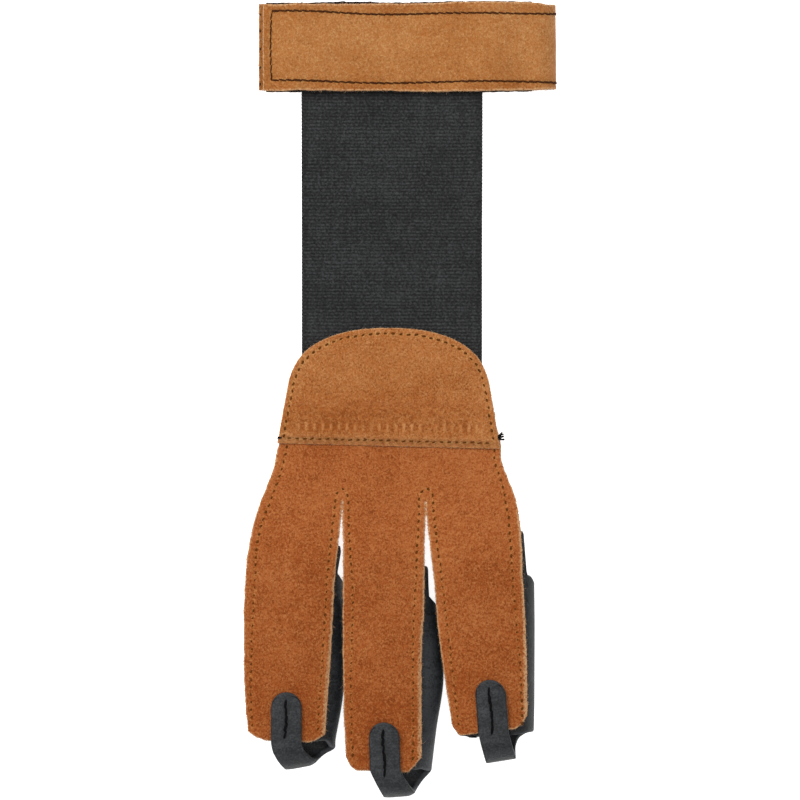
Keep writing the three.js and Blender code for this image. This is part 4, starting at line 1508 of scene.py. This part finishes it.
def tongue_path(strip):
    """The tongue's middle line in the YZ plane, finely: along the floor, round the fingertip as a
    cubic, and back over the strip. Gives run, Y, Z, and how far each point is past the fold."""
    tip = tip_y(strip)
    low = STALL / 2
    high = STRIP_BASE + STRIP_CROWN + SUEDE + GAP + STALL / 2
    wrap = (TONGUE_REACH - STALL / 2) / 0.75
    t = np.linspace(0, 1, 200)
    line = [np.linspace(tip + 1.4, tip - low, 20), np.full(20, low), np.zeros(20)]
    bend = [
        bezier([tip - low, tip - wrap, tip - wrap, tip + low], t),
        bezier([low, low, high, high], t),
        np.maximum(0, 2 * t - 1),
    ]
    flat = [np.linspace(tip + low, tip + tongue_length(strip), 60), np.full(60, high), np.ones(60)]
    y, z, over = (np.concatenate([a, b[1:], c[1:]]) for a, b, c in zip(line, bend, flat))
    return run_along(np.stack([y, z], -1)), y, z, over


def tongue_middle(strip, y, over):
    """Place of the tongue's middle across. Round its bend it slants left, by a power of how far it
    still reaches out."""
    tip = tip_y(strip)
    lap = tongue_length(strip)
    top = (edge_x(strip, "left", tip) + edge_x(strip, "right", tip)) / 2
    out = np.clip((tip + STALL / 2 - y) / TONGUE_REACH, 0, 1) ** strip["bow"]
    slant = strip["lap_slant"] * np.where(over > 0, np.clip(tip + lap - y, 0, lap), lap)
    return top + slant + STALL_HEIGHT * strip["shift"] * np.where(over > 0, out, 1)


def tongue_grid(strip, root):
    """The tongue from its root row. Over a fillet, each point moves from its place in the root row
    to its place across the tongue: along a quarter circle on the left, and on the right too, or
    straight out to the fold where there is a web. The free end is a half circle."""
    run, path_y, path_z, over = tongue_path(strip)
    width = np.array([2 * TONGUE_HALF])
    side = across(0 * width, width, (0, 0.2, 0.45, 0.8, 1.2, 1.7), len(root) - 12)[0]
    side = side / TONGUE_HALF - 1
    share = np.linspace(0, 1, 96)[:, None]
    end = run[-1] - TONGUE_HALF * (1 - np.sqrt(1 - side**2))
    rows = share**1.25 * end
    y, z, past = (np.interp(rows, run, values) for values in (path_y, path_z, over))
    x = tongue_middle(strip, y, past) + side * TONGUE_HALF
    out = np.clip(tip_y(strip) - y, 0, None)
    curl = np.clip(-side - 0.45, 0, 1) ** 2 * 0.12 + np.clip(side - 0.5, 0, 1) ** 2 * 0.5
    y = y + (strip["tilt"] * side * 1.2 + curl * strip["web"]) * out
    z = z - 0.35 * side**2 * ease(0, 1, past)
    grid = np.stack([x, y, z], -1)
    arc = 1 - np.sqrt(1 - (1 - np.clip(rows / TONGUE_FILLET, 0, 1)) ** 2)
    web = np.clip(1 - rows / run[np.argmin(path_y)], 0, 1) ** 1.9
    hold = arc + (web - arc) * ease(-0.2, 1, side) * strip["web"]
    return grid + hold[..., None] * (root - grid[0])


def tongue_seam_nearness(strip, points):
    """How near points on the tongue's lap are to its row of stitches."""
    x, y, z = points.T
    centres, _ = tongue_stitches(strip, 1.0)
    return bell(0, 0.62, path_distance(centres[:, :2], x, y)) * (z > STALL_HEIGHT)


def tongue_stitches(strip, pitch):
    """Places of the stitches that hold the tongue on the strip, in a row up its middle."""
    tip = tip_y(strip)
    y = np.arange(tip + tongue_length(strip) - 3.3, tip + strip["sewn_to"] + 1.2, -pitch)
    _, path_y, path_z, over = tongue_path(strip)
    kept = over > 0.5
    z = np.interp(y, path_y[kept], path_z[kept]) + STALL / 2
    x = tongue_middle(strip, y + STALL, np.ones_like(y)) + 0.18 * np.sin(y / 2.1) - 0.2
    centres = np.stack([x, y, z], -1)
    return centres, -unit(np.gradient(centres, axis=0))


class GLOVE_OT_stitching(bpy.types.Operator):
    """Sews the seams of the strap, crown, panel and tongues"""

    bl_idname = "glove.stitching"
    bl_label = "Stitching"

    def execute(self, context):
        thread = context.scene.glove_thread
        rng = np.random.default_rng(7)
        strap = thread_material("strap_thread", thread.strap_colour)
        panel = thread_material("panel_thread", thread.panel_colour)
        stall = thread_material("stall_thread", thread.stall_colour)
        sew_strap(thread, rng, strap)
        sew_flat("crown", crown_top, crown_seams(), 0.76, thread, rng, panel)
        sew_flat("panel", panel_surface, panel_seams(), 1, thread, rng, panel)
        sew_tongues(thread, rng, stall)
        sew_back_end(rng, strap)
        centre, direction, lengths = crown_tails(rng)
        up = upright(len(centre))
        sew("crown_thread_tails", centre, direction, up, lengths, TAIL_RADIUS, TAIL_ARCH, stall)
        return {"FINISHED"}


def sew_strap(thread, rng, material):
    """Sews the strap's seams, in the waves of its outer face."""
    kind = SEWING["strap"]
    profile, outward = strap_profile()
    run = run_along(profile)
    parts = []
    for path in strap_seams():
        at, heading = along_path(path, thread.pitch)
        here = [np.interp(at[:, 0], run, column) for column in (*profile.T, *outward.T)]
        normal = np.stack([here[2], 0 * here[2], here[3]], -1)
        forward = np.stack([here[3], 0 * here[3], -here[2]], -1)
        direction = forward * heading[:, :1] + heading[:, 1:] * [[0, 1, 0]]
        back = STRAP_BACK_SHIFT * ease(-1, 1, -here[3])
        centre = np.stack([here[0], at[:, 1] + back, here[1]], -1)
        centre = centre + normal * strap_waves(centre[:, 0], at[:, 1], here[3])[:, None]
        parts.append((centre, direction, normal))
    centre, direction, normal = (np.concatenate(part) for part in zip(*parts))
    count = len(centre)
    lengths = thread.pitch * rng.uniform(*kind["length"], count)
    centre = centre + normal * (rng.uniform(-0.06, 0.04, count) - SEAM_DIP)[:, None]
    direction = slanted(direction, normal, rng.normal(*kind["slant"], count))
    thinner_across = 1 - 0.32 * np.abs(direction[:, 1])
    widths = thread.radius * rng.uniform(*kind["width"], count) * thinner_across
    sew("strap_stitches", centre, direction, normal, lengths, widths, kind["arch"], material)


def sew_flat(name, surface, seams, second_size, thread, rng, material):
    """Sews the seams of a piece that lies flat on the hand, whose surface gives its height. The
    second seam's thread has a size of its own. Above the slits and at the tacks the stitches are
    longer and thicker."""
    kind = SEWING[name]
    found = [along_path(path, thread.pitch) for path in seams]
    fine = np.repeat([1, second_size] + [1] * (len(found) - 2), [len(f[0]) for f in found])
    at, heading = (np.concatenate(part) for part in zip(*found))
    count = len(at)
    at = at + rng.normal(0, 0.07, at.shape)
    z = surface(at[:, 0], at[:, 1])
    rise = surface(*(at + heading * 0.4).T) - surface(*(at - heading * 0.4).T)
    direction = unit(np.concatenate([heading, (rise / 0.8)[:, None]], 1))
    normal = upright(count)
    tacked = np.min([np.hypot(at[:, 0] - x, at[:, 1] - y) for x, y in tack_places()], axis=0)
    tacked = ease(4.2, 3.2, tacked)
    sunk = rng.uniform(0.0, 0.2, count) * (1 - tacked)
    centre = np.concatenate([at, (z - SEAM_DIP - sunk)[:, None]], 1)
    bold = ease(-42, -27, at[:, 1]) + tacked
    lengths = thread.pitch * (rng.uniform(*kind["length"], count) + 0.14 * bold)
    direction = slanted(direction, normal, rng.normal(*kind["slant"], count))
    widths = thread.radius * fine * (rng.uniform(*kind["width"], count) + 0.26 * bold)
    sew(name + "_stitches", centre, direction, normal, lengths, widths, kind["arch"], material)


def sew_tongues(thread, rng, material):
    """Sews the tongues on the strips."""
    kind = SEWING["tongue"]
    found = [tongue_stitches(strip, thread.pitch) for strip in STRIPS]
    centre, direction = (np.concatenate(part) for part in zip(*found))
    count = len(centre)
    centre = centre - [0, 0, 0.05]
    lengths = thread.pitch * rng.uniform(*kind["length"], count)
    up = upright(count)
    direction = slanted(direction, up, rng.normal(*kind["slant"], count))
    widths = thread.radius * rng.uniform(*kind["width"], count)
    sew("tongue_stitches", centre, direction, up, lengths, widths, kind["arch"], material)


def sew_back_end(rng, material):
    """Five loose stitches on the end of the strap's back layer."""
    count = 5
    y = np.linspace(STRAP_LOWER + 2.2, STRAP_LOWER + STRAP_WIDTH - 2.2, count)
    y = y + rng.normal(0, 0.5, count)
    x = np.full(count, STRAP_LEFT - STRAP_BACK_EXTRA + 0.35)
    centre = np.stack([x, y, np.full(count, SUEDE)], -1)
    along = np.repeat([[0.0, 1.0, 0.0]], count, 0)
    up = upright(count)
    direction = slanted(along, up, rng.normal(0, 12, count))
    lengths = rng.uniform(0.6, 1.2, count)
    sew("back_end_stitches", centre, direction, up, lengths, TAIL_RADIUS, TAIL_ARCH, material)


def panel_surface(x, y):
    """Upper face of the panel at any place, from the strip that holds it."""
    heights = [panel_top(strip, x, y) for strip in STRIPS]
    inside = [(x >= edge_x(strip, "left", y)) & (x <= edge_x(strip, "right", y)) for strip in STRIPS]
    return np.select(inside, heights, edge_underside(y) + SUEDE)


def tack_places():
    """Middles of the places near the fingertips where the seams are sewn twice."""
    _, middle, right = STRIPS
    return [
        (edge_x(middle, "left", tip_y(middle)) + 2, tip_y(middle) + 3.8),
        (edge_x(middle, "right", tip_y(middle)) - 2, tip_y(middle) + 4.8),
        (edge_x(right, "right", tip_y(right)) - 2, tip_y(right) + 6.8),
    ]


def crown_tails(rng):
    """Cut thread ends at the crown's two lower corners: two along the edge at the left, and a tuft
    that fans out at the right."""
    tuft = 14
    angle = np.radians(np.concatenate([[172, 186], rng.uniform(-50, 62, tuft)]))
    left, right = [CROWN_OFFSET - HALF_HAND + 1.4, 2.05], [CROWN_OFFSET + HALF_HAND - 0.75, 1.95]
    start = np.repeat([left, right], (2, tuft), 0)
    start[2:, 1] += rng.uniform(-0.5, 0.7, tuft)
    reach = np.concatenate([rng.uniform(0.45, 0.8, 2), rng.uniform(0.6, 1.1, tuft)])
    heading = np.stack([np.cos(angle), np.sin(angle)], -1)
    at = start + heading * reach[:, None]
    height = np.where(start[:, 0] < 0, 0.1, -0.4) + rng.uniform(-0.2, 0.2, tuft + 2)
    centres = np.concatenate([at, (crown_top(*start.T) + height)[:, None]], 1)
    directions = np.concatenate([heading, np.full((tuft + 2, 1), 0.1)], 1)
    return centres, unit(directions), 2 * reach


def slanted(direction, normal, degrees):
    """Directions turned about their normals by some degrees each."""
    angle = np.radians(degrees)[:, None]
    side = np.cross(normal, direction)
    return unit(direction * np.cos(angle) + side * np.sin(angle))


class GLOVE_OT_stage(bpy.types.Operator):
    """Makes the floor, the lights and the camera straight above"""

    bl_idname = "glove.stage"
    bl_label = "Stage"

    def execute(self, context):
        stage = context.scene.glove_stage
        material = floor_material("floor_paper", stage.floor_colour)
        edge = np.linspace(-4000, 4000, 9)
        x, y = np.meshgrid(edge, edge)
        points, quads = join_grids([np.stack([x, y, 0 * x - 0.02], -1)])
        floor = make_mesh("floor", points, [quads], {}, material)

        area_light("key_light", (-0.42, 0.5, 0.75), 0.35, stage.key)
        area_light("top_light", (0.15, -0.1, 1.2), 1.2, stage.fill)

        world = bpy.data.worlds.new("studio")
        world.use_nodes = True
        sky = world.node_tree.nodes["Background"]
        sky.inputs["Color"].default_value = (1, 1, 1, 1)
        sky.inputs["Strength"].default_value = stage.sky
        context.scene.world = world
        context.scene.view_settings.view_transform = "Standard"

        lens = bpy.data.cameras.new("camera")
        camera = bpy.data.objects.new("camera", lens)
        context.scene.collection.objects.link(camera)
        camera.location = (0, 0, CAMERA_HEIGHT)
        lens.sensor_width = 36
        lens.lens = lens.sensor_width * (CAMERA_HEIGHT - VIEW_LEVEL) / VIEW_WIDTH
        lens.clip_start, lens.clip_end = 0.05, 50
        context.scene.camera = camera
        return {"FINISHED"}


def area_light(name, place_at, size, power):
    """A square light at a place, turned to the glove."""
    light = bpy.data.lights.new(name, "AREA")
    light.size = size
    light.energy = power
    lamp = bpy.data.objects.new(name, light)
    bpy.context.scene.collection.objects.link(lamp)
    lamp.location = place_at
    lamp.rotation_euler = (-lamp.location).to_track_quat("-Z", "Y").to_euler()


class GLOVE_PT_panel(bpy.types.Panel):
    """Lists the glove's settings and pieces"""

    bl_label = "Archery glove"
    bl_space_type = "VIEW_3D"
    bl_region_type = "UI"
    bl_category = "Glove"

    def draw(self, context):
        for key in SETTINGS:
            box = self.layout.box()
            for name in getattr(context.scene, key).__annotations__:
                box.prop(getattr(context.scene, key), name)
        for operator in OPERATORS:
            self.layout.operator(operator.bl_idname)


SETTINGS = {
    "glove_suede": GloveSuede,
    "glove_leather": GloveLeather,
    "glove_elastic": GloveElastic,
    "glove_thread": GloveThread,
    "glove_stage": GloveStage,
}
OPERATORS = (
    GLOVE_OT_stage,
    GLOVE_OT_wrist_strap,
    GLOVE_OT_closure_tapes,
    GLOVE_OT_elastic_band,
    GLOVE_OT_crown_patch,
    GLOVE_OT_hand_panel,
    GLOVE_OT_finger_stalls,
    GLOVE_OT_stitching,
)


def register():
    for group in (*SETTINGS.values(), *OPERATORS, GLOVE_PT_panel):
        bpy.utils.register_class(group)
    for key, group in SETTINGS.items():
        setattr(bpy.types.Scene, key, bpy.props.PointerProperty(type=group))


def unregister():
    for key in SETTINGS:
        delattr(bpy.types.Scene, key)
    for group in reversed((*SETTINGS.values(), *OPERATORS, GLOVE_PT_panel)):
        bpy.utils.unregister_class(group)


def main():
    """Makes every piece."""
    register()
    for operator in OPERATORS:
        group, name = operator.bl_idname.split(".")
        getattr(getattr(bpy.ops, group), name)()


if __name__ == "__main__":
    main()
